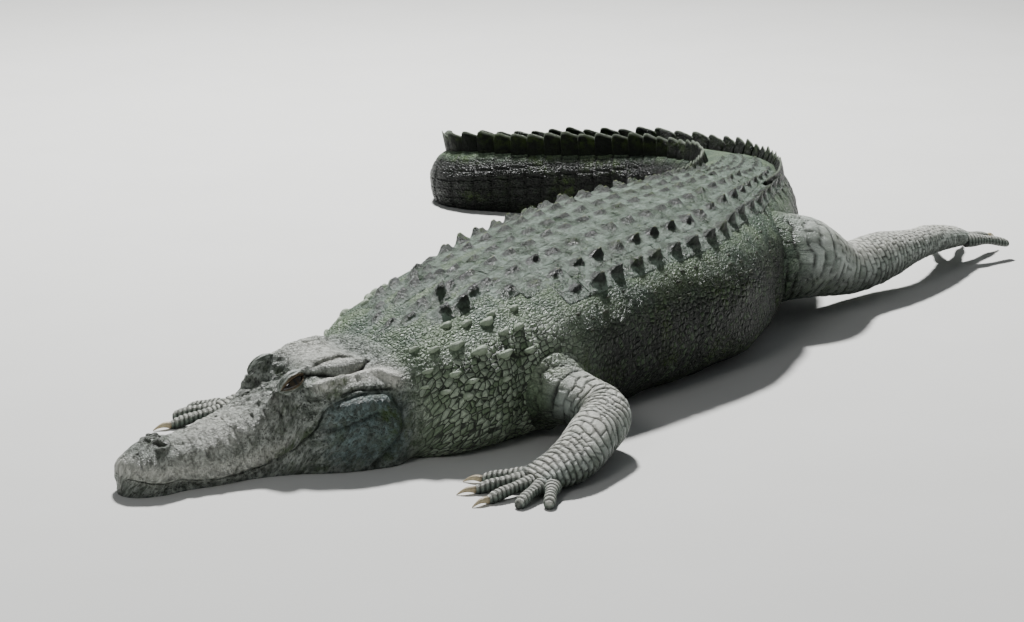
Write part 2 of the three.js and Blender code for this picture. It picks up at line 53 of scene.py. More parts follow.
# Direction of the backbone in degrees against the distance behind the snout tip.
HEADING = [
    (0, 37.5), (430, 37.5), (600, 46), (800, 53), (1100, 54), (1300, 56), (1450, 62), (1600, 70),
    (1750, 77), (1900, 84), (2060, 92), (2230, 110), (2370, 140), (2480, 163), (2560, 167),
    (2820, 167), (2890, 140), (2970, 80), (3045, 25), (3400, 0),
]

# Body sections: distance, half width, height of the back and of the widest line, squareness above and below.
SECTIONS = [
    (475, 158, 178, 66, 2.3, 3.2), (520, 194, 204, 72, 2.2, 3.2), (600, 214, 230, 84, 2.1, 3.2),
    (700, 223, 252, 100, 2.1, 3.1), (800, 230, 266, 110, 2.1, 3.0), (1000, 250, 284, 118, 2.1, 3.1),
    (1200, 262, 290, 120, 2.1, 3.2), (1400, 216, 285, 125, 2.2, 3.0), (1550, 164, 275, 130, 2.3, 2.8),
    (1700, 145, 252, 122, 2.6, 2.6), (1900, 118, 230, 110, 2.8, 2.6), (2100, 104, 200, 100, 2.6, 2.6),
    (2300, 90, 172, 88, 2.2, 2.6), (2500, 76, 160, 80, 2.0, 2.6), (2700, 62, 146, 70, 1.9, 2.6),
    (2900, 50, 128, 60, 1.8, 2.6), (3100, 36, 86, 44, 1.8, 2.4), (3300, 20, 42, 24, 1.8, 2.2),
    (3400, 8, 16, 9, 2.0, 2.0),
]

# Scutes of the back: pitch along the body, and for each row its place across the half width and keel height.
SCUTE_PITCH = 55
SCUTE_ROWS = [(0.085, 7), (0.31, 9), (0.52, 11), (0.7, 15)]
SCUTE_SPREAD = [(475, 1), (1150, 1), (1350, 0.93), (1500, 0.97), (1650, 0.96)]

# Crest of the tail: pitch of its leaves, half distance between its two rows, and leaf height.
CREST_PITCH = 40
CREST_SPREAD = [
    (1600, 100), (1900, 84), (2100, 66), (2300, 46), (2500, 32), (2700, 20), (2870, 3), (3400, 2),
]
CREST_HEIGHT = [
    (1600, 18), (1900, 27), (2200, 38), (2500, 45), (2800, 46), (2950, 44), (3200, 24), (3380, 5),
]
CREST_MERGE = (2780, 2880)

UP = np.array([0, 0, 1])
rng = np.random.default_rng(20731)


def smoothstep(a, b, x):
    t = np.clip((np.asarray(x, float) - a) / (b - a), 0, 1)
    return t * t * (3 - 2 * t)


def fall(a, b, x):
    return 1 - smoothstep(a, b, x)


def bump(x, centre, reach):
    return np.exp(-(((np.asarray(x, float) - centre) / reach) ** 2))


def mix(a, b, t):
    return a + (b - a) * t


def curve(pairs):
    """A smooth curve through (position, value) pairs that never overshoots them."""
    x, y = np.array(pairs, float).T
    step = np.diff(x)
    slope = np.diff(y) / step
    tangent = np.zeros(len(x))
    tangent[0], tangent[-1] = slope[0], slope[-1]
    for i in range(1, len(x) - 1):
        if slope[i - 1] * slope[i] > 0:
            a = 2 * step[i] + step[i - 1]
            b = step[i] + 2 * step[i - 1]
            tangent[i] = (a + b) / (a / slope[i - 1] + b / slope[i])

    def at(v):
        v = np.asarray(v, float)
        i = np.clip(np.searchsorted(x, v, side="right") - 1, 0, len(step) - 1)
        t = np.clip((v - x[i]) / step[i], 0, 1)
        start = t * (1 - t) ** 2 * step[i] * tangent[i]
        end = t * t * (t - 1) * step[i] * tangent[i + 1]
        return mix(y[i], y[i + 1], (3 - 2 * t) * t * t) + start + end

    return at


def backbone():
    """Distance, x, y and direction of the backbone, summed in short steps from the snout tip."""
    heading = curve(HEADING)
    s = np.arange(0, TOTAL_LENGTH + STEP, STEP, float)
    here = np.radians(heading(s) + BODY_TURN)
    middle = np.radians(heading(s[1:] - STEP / 2) + BODY_TURN)
    x = np.concatenate([[0], np.cumsum(STEP * np.cos(middle))])
    y = np.concatenate([[0], np.cumsum(STEP * np.sin(middle))])
    return s, x, y, here


SPINE_S, SPINE_X, SPINE_Y, SPINE_TURN = backbone()


def place(s, side, z):
    """Points at distance s along the body, side to the animal's left, height z."""
    turn = np.interp(s, SPINE_S, SPINE_TURN)
    x = np.interp(s, SPINE_S, SPINE_X) + side * np.sin(turn)
    y = np.interp(s, SPINE_S, SPINE_Y) - side * np.cos(turn)
    return np.stack(np.broadcast_arrays(x, y, z), -1)


width_at = curve([(r[0], r[1]) for r in SECTIONS])
back_at = curve([(r[0], r[2]) for r in SECTIONS])
waist_at = curve([(r[0], r[3]) for r in SECTIONS])
upper_at = curve([(r[0], r[4]) for r in SECTIONS])
lower_at = curve([(r[0], r[5]) for r in SECTIONS])
scute_spread = curve(SCUTE_SPREAD)
crest_spread = curve(CREST_SPREAD)
crest_height = curve(CREST_HEIGHT)


def power(v, n):
    return np.sign(v) * np.abs(v) ** (2 / n)


def outline(s, z):
    """Height of the widest line at s, with squareness and reach of the half that holds height z."""
    waist = waist_at(s)
    up = z >= waist
    squareness = np.where(up, upper_at(s), lower_at(s))
    return waist, squareness, np.where(up, back_at(s) - waist, waist + FLOOR_SINK)


def section(s, t):
    """Side and height of the body's skin at angle t in degrees, 0 at the left flank and 90 on top."""
    c, v = np.cos(np.radians(t)), np.sin(np.radians(t))
    n = np.where(v >= 0, upper_at(s), lower_at(s))
    waist = waist_at(s)
    tall = np.where(v >= 0, back_at(s) - waist, waist + FLOOR_SINK)
    return width_at(s) * power(c, n), waist + tall * power(v, n)


# Head: half width at the lips, height of the line of the mouth, and height of the middle of the top.
LIP = curve([
    (0, 8), (6, 25), (18, 38), (40, 48), (65, 53), (90, 51), (115, 55), (150, 62), (190, 64),
    (230, 70), (270, 80), (310, 95), (350, 109), (400, 120), (440, 127), (475, 134),
])
MOUTH = curve([
    (0, 34), (20, 28), (50, 21), (80, 22), (115, 16), (150, 13), (180, 14), (210, 18), (240, 25),
    (265, 34), (284, 49), (302, 65), (312, 78), (322, 100), (335, 112), (360, 121), (394, 124),
    (428, 122), (475, 116),
])
CROWN = curve([
    (0, 46), (5, 53), (22, 64), (48, 73), (66, 79), (100, 78), (150, 86), (190, 95), (230, 107),
    (262, 123), (285, 134), (310, 140), (330, 149), (360, 155), (420, 156), (450, 163), (475, 174),
])
CROWN_SQUARE = curve([(0, 2.2), (60, 2.4), (190, 2.5), (260, 2.3), (330, 2.1), (475, 2.2)])
JOWL = curve([(0, 0), (200, 2), (280, 10), (340, 24), (400, 30), (450, 26), (475, 20)])
NOSTRIL = {"back": 66, "side": 17, "height": 9, "reach": 14}
BROW = {"back": 300, "side": 45, "height": 31, "long": 36, "wide": 20}
TABLE = {"start": 330, "end": 420, "front": 52, "rear": 74, "height": 17, "edge": 13}
EYE = {"back": 300, "side": 42, "height": 139, "radius": 16}
HEAD_TIP = 12


def head_relief(b, side):
    """Height added to the top of the head by nostrils, brows and the flat table of the skull."""
    side = np.abs(side)
    nose = NOSTRIL["height"] * bump(b, NOSTRIL["back"], NOSTRIL["reach"]) * bump(side, NOSTRIL["side"], 14)
    brow = BROW["height"] * bump(b, BROW["back"], BROW["long"]) * bump(side, BROW["side"], BROW["wide"])
    half = mix(TABLE["front"], TABLE["rear"], (b - TABLE["start"]) / (TABLE["end"] - TABLE["start"]))
    across = fall(-TABLE["edge"], TABLE["edge"], side - half)
    along = smoothstep(TABLE["start"] - 30, TABLE["start"] + 12, b)
    along = along * fall(TABLE["end"] - 24, TABLE["end"] + 34, b)
    return nose + brow * (1 - 0.8 * along * across) + TABLE["height"] * across * along


def head_tip(b, side):
    """Height that the head's tip to its left adds on its right side."""
    return HEAD_TIP * smoothstep(0, 60, -side) * smoothstep(180, 290, b) * fall(430, 470, b)


def onto_neck(b, side, z):
    """Brings the head's rear onto the outline of the neck, so that the two meet."""
    share = smoothstep(435, HEAD_END, b)
    waist, n, tall = outline(HEAD_END, z)
    size = (np.abs(side / width_at(HEAD_END)) ** n + np.abs((z - waist) / tall) ** n) ** (1 / n)
    size = np.maximum(size, 1e-6)
    return mix(side, side / size, share), mix(z, waist + (z - waist) / size, share)


def upper_head(b, t):
    """Side and height of the upper half of the head, t from 0 on the left lip to 180 on the right."""
    c, v = np.cos(np.radians(t)), np.sin(np.radians(t))
    n = CROWN_SQUARE(b)
    side = LIP(b) * power(c, n)
    z = MOUTH(b) + (CROWN(b) - MOUTH(b)) * power(np.abs(v), n) + head_relief(b, side) * v
    return onto_neck(b, side, z)


JAW_INSET = 3


def lower_head(b, share):
    """Side and height of the lower jaw, share from 0 on the left lip, 1 under the chin, 2 on the right."""
    mirror = np.where(share > 1, -1, 1)
    u = np.where(share > 1, 2 - share, share)
    lip = np.maximum(LIP(b) - JAW_INSET * fall(390, 435, b), 3)
    drop = np.minimum(u / 0.6, 1)
    bulge = JOWL(b) * np.sin(np.pi * np.minimum(drop * 0.85 + 0.02, 1))
    foot = lip * 0.9 + JOWL(b) * 0.8
    wall = mix(lip, foot, drop) + bulge
    side = np.where(u <= 0.6, wall, wall * (1 - (u - 0.6) / 0.4))
    return onto_neck(b, mirror * side, MOUTH(b) * (1 - drop**1.3))


def hashed(i, j, k):
    """Repeatable random number from 0 to 1 for each pair of whole numbers."""
    v = np.sin(i * 127.1 + j * 311.7 + k * 74.7) * 43758.5453
    return v - np.floor(v)


def noise(x, y, k=0):
    """Smooth noise from -1 to 1, with one lump for each unit of x and y."""
    x, y = np.broadcast_arrays(np.asarray(x, float), np.asarray(y, float))
    i, j = np.floor(x), np.floor(y)
    u, v = x - i, y - j
    u, v = u * u * (3 - 2 * u), v * v * (3 - 2 * v)
    low = mix(hashed(i, j, k), hashed(i + 1, j, k), u)
    high = mix(hashed(i, j + 1, k), hashed(i + 1, j + 1, k), u)
    return 2 * mix(low, high, v) - 1


def cells(x, y, jitter, k=0):
    """Distance from the nearest seam of a net of cells, and a random number for each cell."""
    i, j = np.floor(x), np.floor(y)
    first = np.full(x.shape, 9.0)
    second = np.full(x.shape, 9.0)
    number = np.zeros(x.shape)
    for di in (-1, 0, 1):
        for dj in (-1, 0, 1):
            cx = i + di + 0.5 + jitter * (hashed(i + di, j + dj, k) - 0.5)
            cy = j + dj + 0.5 + jitter * (hashed(i + di, j + dj, k + 1) - 0.5)
            d = np.hypot(x - cx, y - cy)
            nearer = d < first
            second = np.where(nearer, first, np.minimum(second, d))
            number = np.where(nearer, hashed(i + di, j + dj, k + 2), number)
            first = np.where(nearer, d, first)
    return second - first, number


def grooves(turns, pitch, width):
    """Strength from 0 to 1 of grooves at each whole number of turns, with pitch and width in one unit."""
    part = turns - np.floor(turns)
    return np.exp(-((np.minimum(part, 1 - part) * pitch / width) ** 2))


def line_distance(points, line):
    """Distance of each point from a line of straight stretches."""
    best = np.full(points.shape[:-1], 1e9)
    for a, b in zip(np.array(line[:-1], float), np.array(line[1:], float)):
        share = np.clip(((points - a) @ (b - a)) / ((b - a) @ (b - a)), 0, 1)
        best = np.minimum(best, np.linalg.norm(points - a - share[..., None] * (b - a), axis=-1))
    return best


def along_line(points, line, reach):
    return np.exp(-((line_distance(points, line) / reach) ** 2))


# The skin's grid: columns run from the top round the left side, the belly and the right side.
HALF_COLUMNS = 144
LIP_COLUMN = 86
HEAD_RINGS = 280
TRUNK_RINGS = 340
TAIL_RINGS = 440
BELLY_SHARE = 0.35


def even_angles(s):
    """Angles of the columns at distance s, evenly spaced over back and flank and wider under the belly."""
    t = np.linspace(90, -90, 361)
    side, z = section(s, t)
    weight = np.where((t[1:] + t[:-1]) / 2 > -50, 1, BELLY_SHARE)
    arc = np.concatenate([[0], np.cumsum(np.hypot(np.diff(side), np.diff(z)) * weight)])
    return np.interp(np.linspace(0, arc[-1], HALF_COLUMNS + 1), arc, t)


def head_half(b):
    """Side and height of the left half of the head's rings, from the top to the middle of the chin."""
    top = np.linspace(90, 0, LIP_COLUMN + 1)[None]
    under = np.linspace(0, 1, HALF_COLUMNS - LIP_COLUMN + 1)[None, 1:] ** 1.15
    side_up, z_up = upper_head(b[:, None], top)
    side_down, z_down = lower_head(b[:, None], under)
    return np.concatenate([side_up, side_down], 1), np.concatenate([z_up, z_down], 1)


def head_angles():
    """Angles on the neck's outline where the columns of the head arrive."""
    side, z = (v[0] for v in head_half(np.array([float(HEAD_END)])))
    waist, n, tall = outline(HEAD_END, z)
    high = np.sign(z - waist) * np.abs((z - waist) / tall) ** (n / 2)
    return np.degrees(np.arctan2(high, np.abs(side / width_at(HEAD_END)) ** (n / 2)))


def body_grid():
    """Distance, side and height of every point of the skin's left half, ring by ring."""
    head_s = np.linspace(0.5, HEAD_END, HEAD_RINGS, endpoint=False)
    trunk_s = np.linspace(HEAD_END, TRUNK_END, TRUNK_RINGS, endpoint=False)
    tail_s = np.linspace(TRUNK_END, TOTAL_LENGTH - 1, TAIL_RINGS)
    side, z = head_half(head_s)
    rest = np.concatenate([trunk_s, tail_s])
    even = np.stack([even_angles(s) for s in rest])
    share = smoothstep(HEAD_END, 640, rest)[:, None]
    angle = mix(head_angles()[None], even, share)
    body_side, body_z = section(rest[:, None], angle)
    s = np.concatenate([head_s, rest])
    return s, np.concatenate([side, body_side]), np.concatenate([z, body_z])


def mirrored(left):
    """A whole ring from its left half, for values that are the same on both sides."""
    return np.concatenate([left, left[:, -2:0:-1]], 1)


# Features of the left side of the head, as (back, side, height) points.
EAR_SLIT = [
    (318, 49, 157), (334, 57, 154), (357, 68, 150), (375, 82, 147), (393, 81, 148), (415, 76, 153),
    (437, 62, 158),
]
EAR_FLAP = [(356, 58, 160), (380, 65, 160), (408, 67, 161), (428, 62, 162)]
EAR_CRESCENT = [
    (338, 51, 166), (352, 46, 169), (369, 43, 171), (392, 41, 172), (418, 44, 169), (438, 52, 163),
]
TABLE_EDGE = [(346, 38, 169), (366, 34, 172), (392, 31, 173), (420, 33, 171)]
JUGAL = [
    (316, 68, 134), (340, 80, 140), (364, 86, 144), (386, 89, 145), (408, 88, 147), (434, 94, 148),
    (450, 116, 140),
]
JAW_REAR = [
    (441, 138, 116), (447, 148, 100), (446, 157, 74), (437, 160, 58), (423, 158, 42), (408, 150, 20),
    (391, 142, 6),
]
CHEEK_BULGES = [
    ([(350, 118, 106), (380, 128, 112), (412, 134, 112)], 5, 13),
    ([(345, 134, 56), (385, 148, 60), (420, 155, 64)], 5, 20),
]
CHEEK_FOLDS = [
    ([(335, 100, 117), (359, 108, 129), (382, 112, 133), (404, 119, 130), (440, 126, 127)], 5.0, 3.6),
    ([(357, 114, 117), (378, 117, 124), (399, 121, 126)], 2.5, 2.4),
    ([(315, 103, 77), (331, 123, 78), (350, 133, 82), (379, 141, 92), (401, 144, 98)], 5.0, 4.0),
    ([(330, 122, 52), (372, 144, 46), (412, 154, 48)], 2.4, 4.0),
    ([(300, 98, 44), (340, 128, 34), (388, 148, 28)], 2.4, 4.0),
]
BROW_FOLD = [(268, 34, 132), (282, 34, 152), (304, 33, 167), (326, 42, 167)]
EYE_LINE = [(284, 54, 142), (302, 55, 150), (318, 56, 157)]
CANTHUS = [(190, 34, 96), (230, 38, 108), (262, 44, 124), (284, 46, 142)]
NOSTRIL_RIM = [(56, 10, 84), (50, 20, 81), (54, 30, 74), (66, 33, 72), (76, 27, 77), (78, 16, 82)]
NOSTRIL_PIT = [(57, 19, 82), (61, 26, 79), (67, 28, 76)]


# Height and reach of each ridge, and of each groove with its height below zero.
HEAD_RELIEF = [
    (EAR_SLIT, -7.0, 2.6), (EAR_FLAP, 6.0, 11), (EAR_CRESCENT, -7.0, 3.2), (TABLE_EDGE, 3.0, 7),
    (JUGAL, 8.0, 9), (JAW_REAR, -8.0, 7), *CHEEK_BULGES,
    *((line, -depth, reach) for line, depth, reach in CHEEK_FOLDS),
    (CANTHUS, 4.5, 7), (BROW_FOLD, 4.5, 5), (NOSTRIL_RIM, 3.5, 4.5), (NOSTRIL_PIT, -8.5, 2.8),
]


def head_pits(p):
    """Pits of the snout and brow, from 0 to 1."""
    b, side, z = p[..., 0], p[..., 1], p[..., 2]
    edge, number = cells(b / 8.0, (side + z) / 7.0, 0.95, 11)
    where = 0.45 * fall(250, 300, b) + 0.8 * bump(b, 262, 30) * smoothstep(80, 104, z)
    return smoothstep(0.3, 0.75, edge) * (number > 0.55) * np.clip(where, 0, 1)


def head_detail(p):
    """Height added to the head's skin; p holds (back, side, height) with the side taken as positive."""
    b, side, z = p[..., 0], p[..., 1], p[..., 2]
    high = 0
    for line, height, reach in HEAD_RELIEF:
        high = high + height * along_line(p, line, reach)
    hollow = bump(b, 262, 17) * bump(side, 62, 13)
    between_eyes = bump(b, 296, 26) * bump(side, 0, 20)
    high = high - 6 * hollow - 5 * between_eyes
    # Bony lumps and pits of the snout, deepest before the eyes.
    snout = fall(270, 330, b)
    lumps = noise(b / 15, side / 11 + z / 15, 3) + 0.7 * noise(b / 7, side / 6 + z / 7, 4)
    high = high + (0.35 + 0.65 * snout) * 2.3 * lumps - 4.2 * head_pits(p)
    knotted = bump(b, 268, 28) * smoothstep(96, 116, z)
    high = high + 3.2 * knotted * noise(b / 9, side / 7, 9) + 0.9 * noise(b / 9, (side + z) / 9, 7)
    # Ear-flap striations and the wrinkles round the eye.
    high = high + 0.8 * along_line(p, EAR_FLAP, 11) * np.sin(b * 1.3 + 2 * noise(b / 20, z / 20, 5))
    round_eye = np.hypot((b - EYE["back"]) / 1.5, z - EYE["height"] - 10 + (EYE["back"] - b) * 0.42)
    ring = bump(round_eye, 17, 9) * smoothstep(30, 45, side)
    high = high - 7 * along_line(p, EYE_LINE, 9)
    return high + ring * 1.1 * np.sin(round_eye * 0.95) + 0.5 * noise(b / 5, (side + z) / 5, 6)


def head_lines(p):
    """Where the creases of the head hold shadow and dirt."""
    dark = 1.2 * along_line(p, EAR_SLIT, 3.0) + 0.9 * along_line(p, EAR_CRESCENT, 3.4)
    dark = dark + 0.35 * along_line(p, JAW_REAR, 6)
    for line, depth, reach in CHEEK_FOLDS:
        dark = dark + 0.13 * depth * along_line(p, line, 0.7 * reach)
    return np.clip(dark, 0, 1)


def mouth_detail(s, column):
    """The groove of the mouth with the lumpy lip that hangs over it, on the half columns."""
    ahead = fall(425, 452, s)
    off = (column - LIP_COLUMN) * 2.0
    groove = -mix(6.0, 3.5, smoothstep(310, 350, s)) * np.exp(-((off - 1.5) / 3.6) ** 2)
    scallop = 1 + 0.8 * np.sin(s / 7.0 + 2.5 * noise(s / 45, 0 * s, 8))
    lip = 3.2 * scallop * np.exp(-((off + 5.5) / 5.0) ** 2) * fall(290, 340, s)
    jaw = 1.8 * np.exp(-((off - 9) / 6.0) ** 2) * fall(280, 330, s)
    return ahead * (smoothstep(2, 14, s) * groove + smoothstep(12, 34, s) * (lip + jaw))


def grid_normals(p):
    """Outward normals of a closed grid of rings."""
    around = np.roll(p, -1, 1) - np.roll(p, 1, 1)
    along = np.gradient(p, axis=0)
    n = np.cross(around, along)
    return n / np.maximum(np.linalg.norm(n, axis=-1, keepdims=True), 1e-9)


def grid_faces(rings, columns, first=0):
    i, j = np.meshgrid(np.arange(rings - 1), np.arange(columns), indexing="ij")
    k = (j + 1) % columns
    a, b = i * columns + j, i * columns + k
    return np.stack([a, b, b + columns, a + columns], -1).reshape(-1, 4) + first


def outward(points, quads, triangles):
    """Polygons turned to face outwards, judged by the volume that they hold."""
    parts = np.concatenate([quads[:, [0, 1, 2]], quads[:, [0, 2, 3]], triangles])
    a, b, c = (points[parts[:, k]] for k in range(3))
    if np.einsum("ij,ij->", a, np.cross(b, c)) < 0:
        return quads[:, ::-1], triangles[:, ::-1]
    return quads, triangles


class Shell:
    """A closed tube of rings with a fan over each end, its uv in metres and its named masks."""

    def __init__(self, points, uv, masks):
        rings, columns = points.shape[:2]
        self.points = np.concatenate([points.reshape(-1, 3), points[:1].mean(1), points[-1:].mean(1)])
        quads = grid_faces(rings, columns)
        j = np.arange(columns)
        k = (j + 1) % columns
        start, end = rings * columns, rings * columns + 1
        last = (rings - 1) * columns
        front = np.stack([k, j, np.full(columns, start)], -1)
        back = np.stack([last + j, last + k, np.full(columns, end)], -1)
        self.quads, self.triangles = outward(self.points, quads, np.concatenate([front, back]))
        flat = uv.reshape(-1, 2)
        self.uv = np.concatenate([flat, uv[:1].mean(1), uv[-1:].mean(1)])
        self.masks = {
            name: np.concatenate([v.reshape(-1), v[:1].mean(1), v[-1:].mean(1)]) for name, v in masks.items()
        }


def joined(shells):
    """Points, polygons, uv and masks of several shells as one."""
    points, quads, triangles, uv = [], [], [], []
    first = 0
    for shell in shells:
        points.append(shell.points)
        quads.append(shell.quads + first)
        triangles.append(shell.triangles + first)
        uv.append(shell.uv)
        first += len(shell.points)
    names = shells[0].masks.keys()
    masks = {name: np.concatenate([shell.masks[name] for shell in shells]) for name in names}
    return np.concatenate(points), np.concatenate(quads), np.concatenate(triangles), np.concatenate(uv), masks


def make_mesh(name, points, quads, triangles, uv, masks, uv_name="skin_uv"):
    """A smooth-shaded object in the frame from points in millimetres."""
    mesh = bpy.data.meshes.new(name)
    quads, triangles = outward(points, quads, triangles)
    quads = np.asarray(quads, np.int32).reshape(-1, 4)
    triangles = np.asarray(triangles, np.int32).reshape(-1, 3)
    loops = np.concatenate([quads.ravel(), triangles.ravel()])
    starts = np.concatenate([np.arange(len(quads)) * 4, len(quads) * 4 + np.arange(len(triangles)) * 3])
    moved = (np.asarray(points, float) + SNOUT_IN_FRAME) * MM
    moved[:, 2] = np.maximum(moved[:, 2], 0)
    mesh.vertices.add(len(moved))
    mesh.vertices.foreach_set("co", moved.astype(np.float32).ravel())
    mesh.loops.add(len(loops))
    mesh.loops.foreach_set("vertex_index", loops)
    mesh.polygons.add(len(starts))
    mesh.polygons.foreach_set("loop_start", starts.astype(np.int32))
    mesh.update(calc_edges=True)
    mesh.validate()
    mesh.shade_smooth()
    layer = mesh.uv_layers.new(name=uv_name)
    corner = np.zeros(len(mesh.loops), np.int32)
    mesh.loops.foreach_get("vertex_index", corner)
    layer.data.foreach_set("uv", uv[corner].astype(np.float32).ravel())
    for mask, values in masks.items():
        attribute = mesh.attributes.new(mask, "FLOAT", "POINT")
        attribute.data.foreach_set("value", np.asarray(values, np.float32))
    obj = bpy.data.objects.new(name, mesh)
    bpy.context.scene.collection.objects.link(obj)
    return obj


# Tiers of tall scales on the tail's side, and how far each band's tiers shift from the last one's.
TIERS = 6.5
TIER_SHIFT = 0.148
# Folds of loose skin: distance, half width, depth, and the shares of the height between which they run.
SKIN_FOLDS = [(500, 14, 4, 0.0, 0.8), (634, 16, 9, 0.0, 0.78), (668, 9, 3, 0.1, 0.9)]
MASKS = ("head", "cheek", "net", "wall", "leg", "shade", "seam", "moss", "pale", "bead")


def body_shell():
    """The skin of head, neck, trunk and tail."""
    s, left_side, left_z = body_grid()
    side = np.concatenate([left_side, -left_side[:, -2:0:-1]], 1)
    z = mirrored(left_z)
    columns = np.arange(HALF_COLUMNS + 1)
    column = mirrored(np.broadcast_to(columns, left_side.shape).astype(float))
    s_grid = np.broadcast_to(s[:, None], side.shape)
    upward = np.cos(np.pi / 2 * np.minimum(column / LIP_COLUMN, 1))
    base = place(s_grid, side, z + head_tip(s_grid, side) * upward)
    step = np.linalg.norm(np.diff(np.stack([left_side, left_z], -1), axis=1), axis=-1)
    half_arc = np.concatenate([np.zeros((len(s), 1)), np.cumsum(step, 1)], 1)
    sign = np.where(side >= 0, 1.0, -1.0)
    arc = mirrored(half_arc) * sign

    fade = fall(HEAD_END - 20, HEAD_END + 10, s_grid)
    head_points = np.stack([s_grid, np.abs(side), z], -1)
    lift = np.zeros(side.shape)
    rows = s < HEAD_END + 40
    lift[rows] = head_detail(head_points[rows]) * fade[rows]
    lift[rows] += mouth_detail(s_grid[rows], column[rows])

    # Net of large scales on the side of the neck and the shoulder.
    height_share = np.clip(z / np.maximum(back_at(s_grid), 1), 0, 1)
    shoulder = smoothstep(430, 480, s_grid) * fall(640, 860, s_grid)
    seam, _ = cells(s_grid / 14.0 + 0.1 * noise(s_grid / 60, arc / 60, 21), arc / 12.0, 0.62, 31)
    scale = smoothstep(0.0, 0.34, seam)
    net = shoulder * fall(0.72, 0.9, height_share)
    lift += net * (0.8 * scale - 0.4)
    nape = shoulder * smoothstep(0.7, 0.88, height_share)
    small, _ = cells(s_grid / 9.0, arc / 7.0, 0.9, 51)
    lift += nape * 1.3 * smoothstep(0.0, 0.3, small)

    # Folds of loose skin behind the jaw and before the shoulder.
    for at, reach, depth, low, high in SKIN_FOLDS:
        lean = at + 26 * (height_share - 0.5) + 6 * noise(arc / 40, 0 * arc, at)
        within = smoothstep(low - 0.1, low + 0.1, height_share)
        within = within * fall(high - 0.15, high + 0.05, height_share)
        lift -= depth * bump(s_grid, lean, reach) * within

    # Trunk: creases across the back between the rows of scutes, wrinkles and pebbles on the flank.
    trunk = smoothstep(690, 860, s_grid) * fall(1560, 1700, s_grid)
    across = np.abs(side) / np.maximum(width_at(s_grid), 1) / scute_spread(np.minimum(s_grid, TRUNK_END))
    on_back = fall(0.74, 0.84, across) * (z > waist_at(s_grid))
    crease = grooves(s_grid / SCUTE_PITCH, SCUTE_PITCH, 4.0)
    behind_neck = smoothstep(640, 720, s_grid) * fall(1950, 2100, s_grid)
    lift -= 0.8 * crease * on_back * behind_neck
    flank = trunk * (1 - on_back)
    grain, tone = cells(s_grid / 12.0 + 0.2 * noise(s_grid / 40, arc / 40, 61), arc / 9.5, 0.8, 71)
    pebble = smoothstep(0.0, 0.35, grain)
    lift += flank * (0.9 * pebble * (0.5 + tone) + 3.0 * noise(s_grid / 70, arc / 45, 81))
    thigh_fold = bump(s_grid, 1385 + 50 * (0.5 - height_share), 16) * smoothstep(0.05, 0.3, height_share)
    lift -= 7 * thigh_fold * fall(0.55, 0.75, height_share)

    # Tail: tall scales in bands that continue each leaf of the crest down the side.
    tail = smoothstep(1620, 1720, s_grid)
    band = grooves(s_grid / CREST_PITCH, CREST_PITCH, 3.4)
    tiers = TIERS * height_share + TIER_SHIFT * np.floor(s_grid / CREST_PITCH)
    level = grooves(tiers, 1, 0.1)
    side_wall = tail * fall(0.9, 1.0, height_share)
    lift -= side_wall * (2.4 * band + 1.2 * level * (1 - band))
    lift += 1.2 * noise(s_grid / 34, arc / 26, 91) * smoothstep(HEAD_END, 560, s_grid)

    calm = smoothstep(1, 8, z)
    points = base + grid_normals(base) * (lift * calm)[..., None]

    seams = side_wall * (band + 0.6 * level) + 0.12 * crease * on_back * behind_neck
    seams[rows] += (0.8 * head_pits(head_points[rows]) + head_lines(head_points[rows])) * fade[rows]
    head = fall(440, 500, s_grid)
    # Under the shade mask the lower flank and the lower side of the tail darken, partly for their dark skin
    # and partly as painted shade; brow_shade is painted shade on the front of the brow.
    dark_flank = smoothstep(650, 840, s_grid) * fall(0.5, 0.86, height_share)
    dark_tail = smoothstep(1600, 1900, s_grid) * fall(0.75, 0.98, height_share)
    brow_shade = head * bump(s_grid, 262, 22) * smoothstep(88, 112, z)
    brow_shade = brow_shade * smoothstep(-0.3, 0.4, noise(s_grid / 10, arc / 8, 93))
    nose_shade = 0.9 * bump(s_grid, 64, 20) * smoothstep(64, 78, z) + 0.3 * fall(10, 60, s_grid)
    body_shade = np.clip(dark_flank + dark_tail, 0, 1)
    masks = {
        "head": head,
        "cheek": cheek_of(s_grid, z),
        "net": net,
        "wall": side_wall,
        "leg": 0 * s_grid,
        "shade": np.clip(body_shade + 0.65 * brow_shade + nose_shade, 0, 1),
        "seam": np.clip(seams, 0, 1),
        "moss": moss_of(s_grid, np.abs(side), z, head),
        "pale": pale_highlight_of(s_grid, z, head_points),
        "bead": tone * pebble,
    }
    uv = np.stack([arc, s_grid], -1) * MM
    return Shell(points, uv, masks)


def cheek_of(s, z):
    """The blue-grey skin of the hind cheek and the jaw, under the line of the mouth."""
    under = fall(-10, 16, z - MOUTH(np.minimum(s, HEAD_END)))
    return under * smoothstep(285, 350, s) * fall(425, 470, s) * smoothstep(-20, 40, z)


def moss_of(s, side, z, head):
    """Where green algae grows: the hind cheek, the strip above the mouth, keels and flanks in patches."""
    cheek = bump(s, 428, 32) * bump(z, 78, 42) * (side > 60)
    strip = bump(s, 270, 42) * bump(z - MOUTH(np.minimum(s, HEAD_END)), 9, 9) * (side > 40) * head
    behind_eye = bump(s, 350, 24) * bump(z, 140, 6) * (side > 55) * head
    patches = smoothstep(0.05, 0.6, noise(s / 75, z / 40, 101)) * smoothstep(520, 700, s) * 0.7
    small = 0.6 * smoothstep(0.1, 0.6, noise(s / 26, z / 18, 103))
    patches = patches + small * head * smoothstep(240, 290, s)
    return np.clip(cheek + strip + behind_eye + patches, 0, 1)


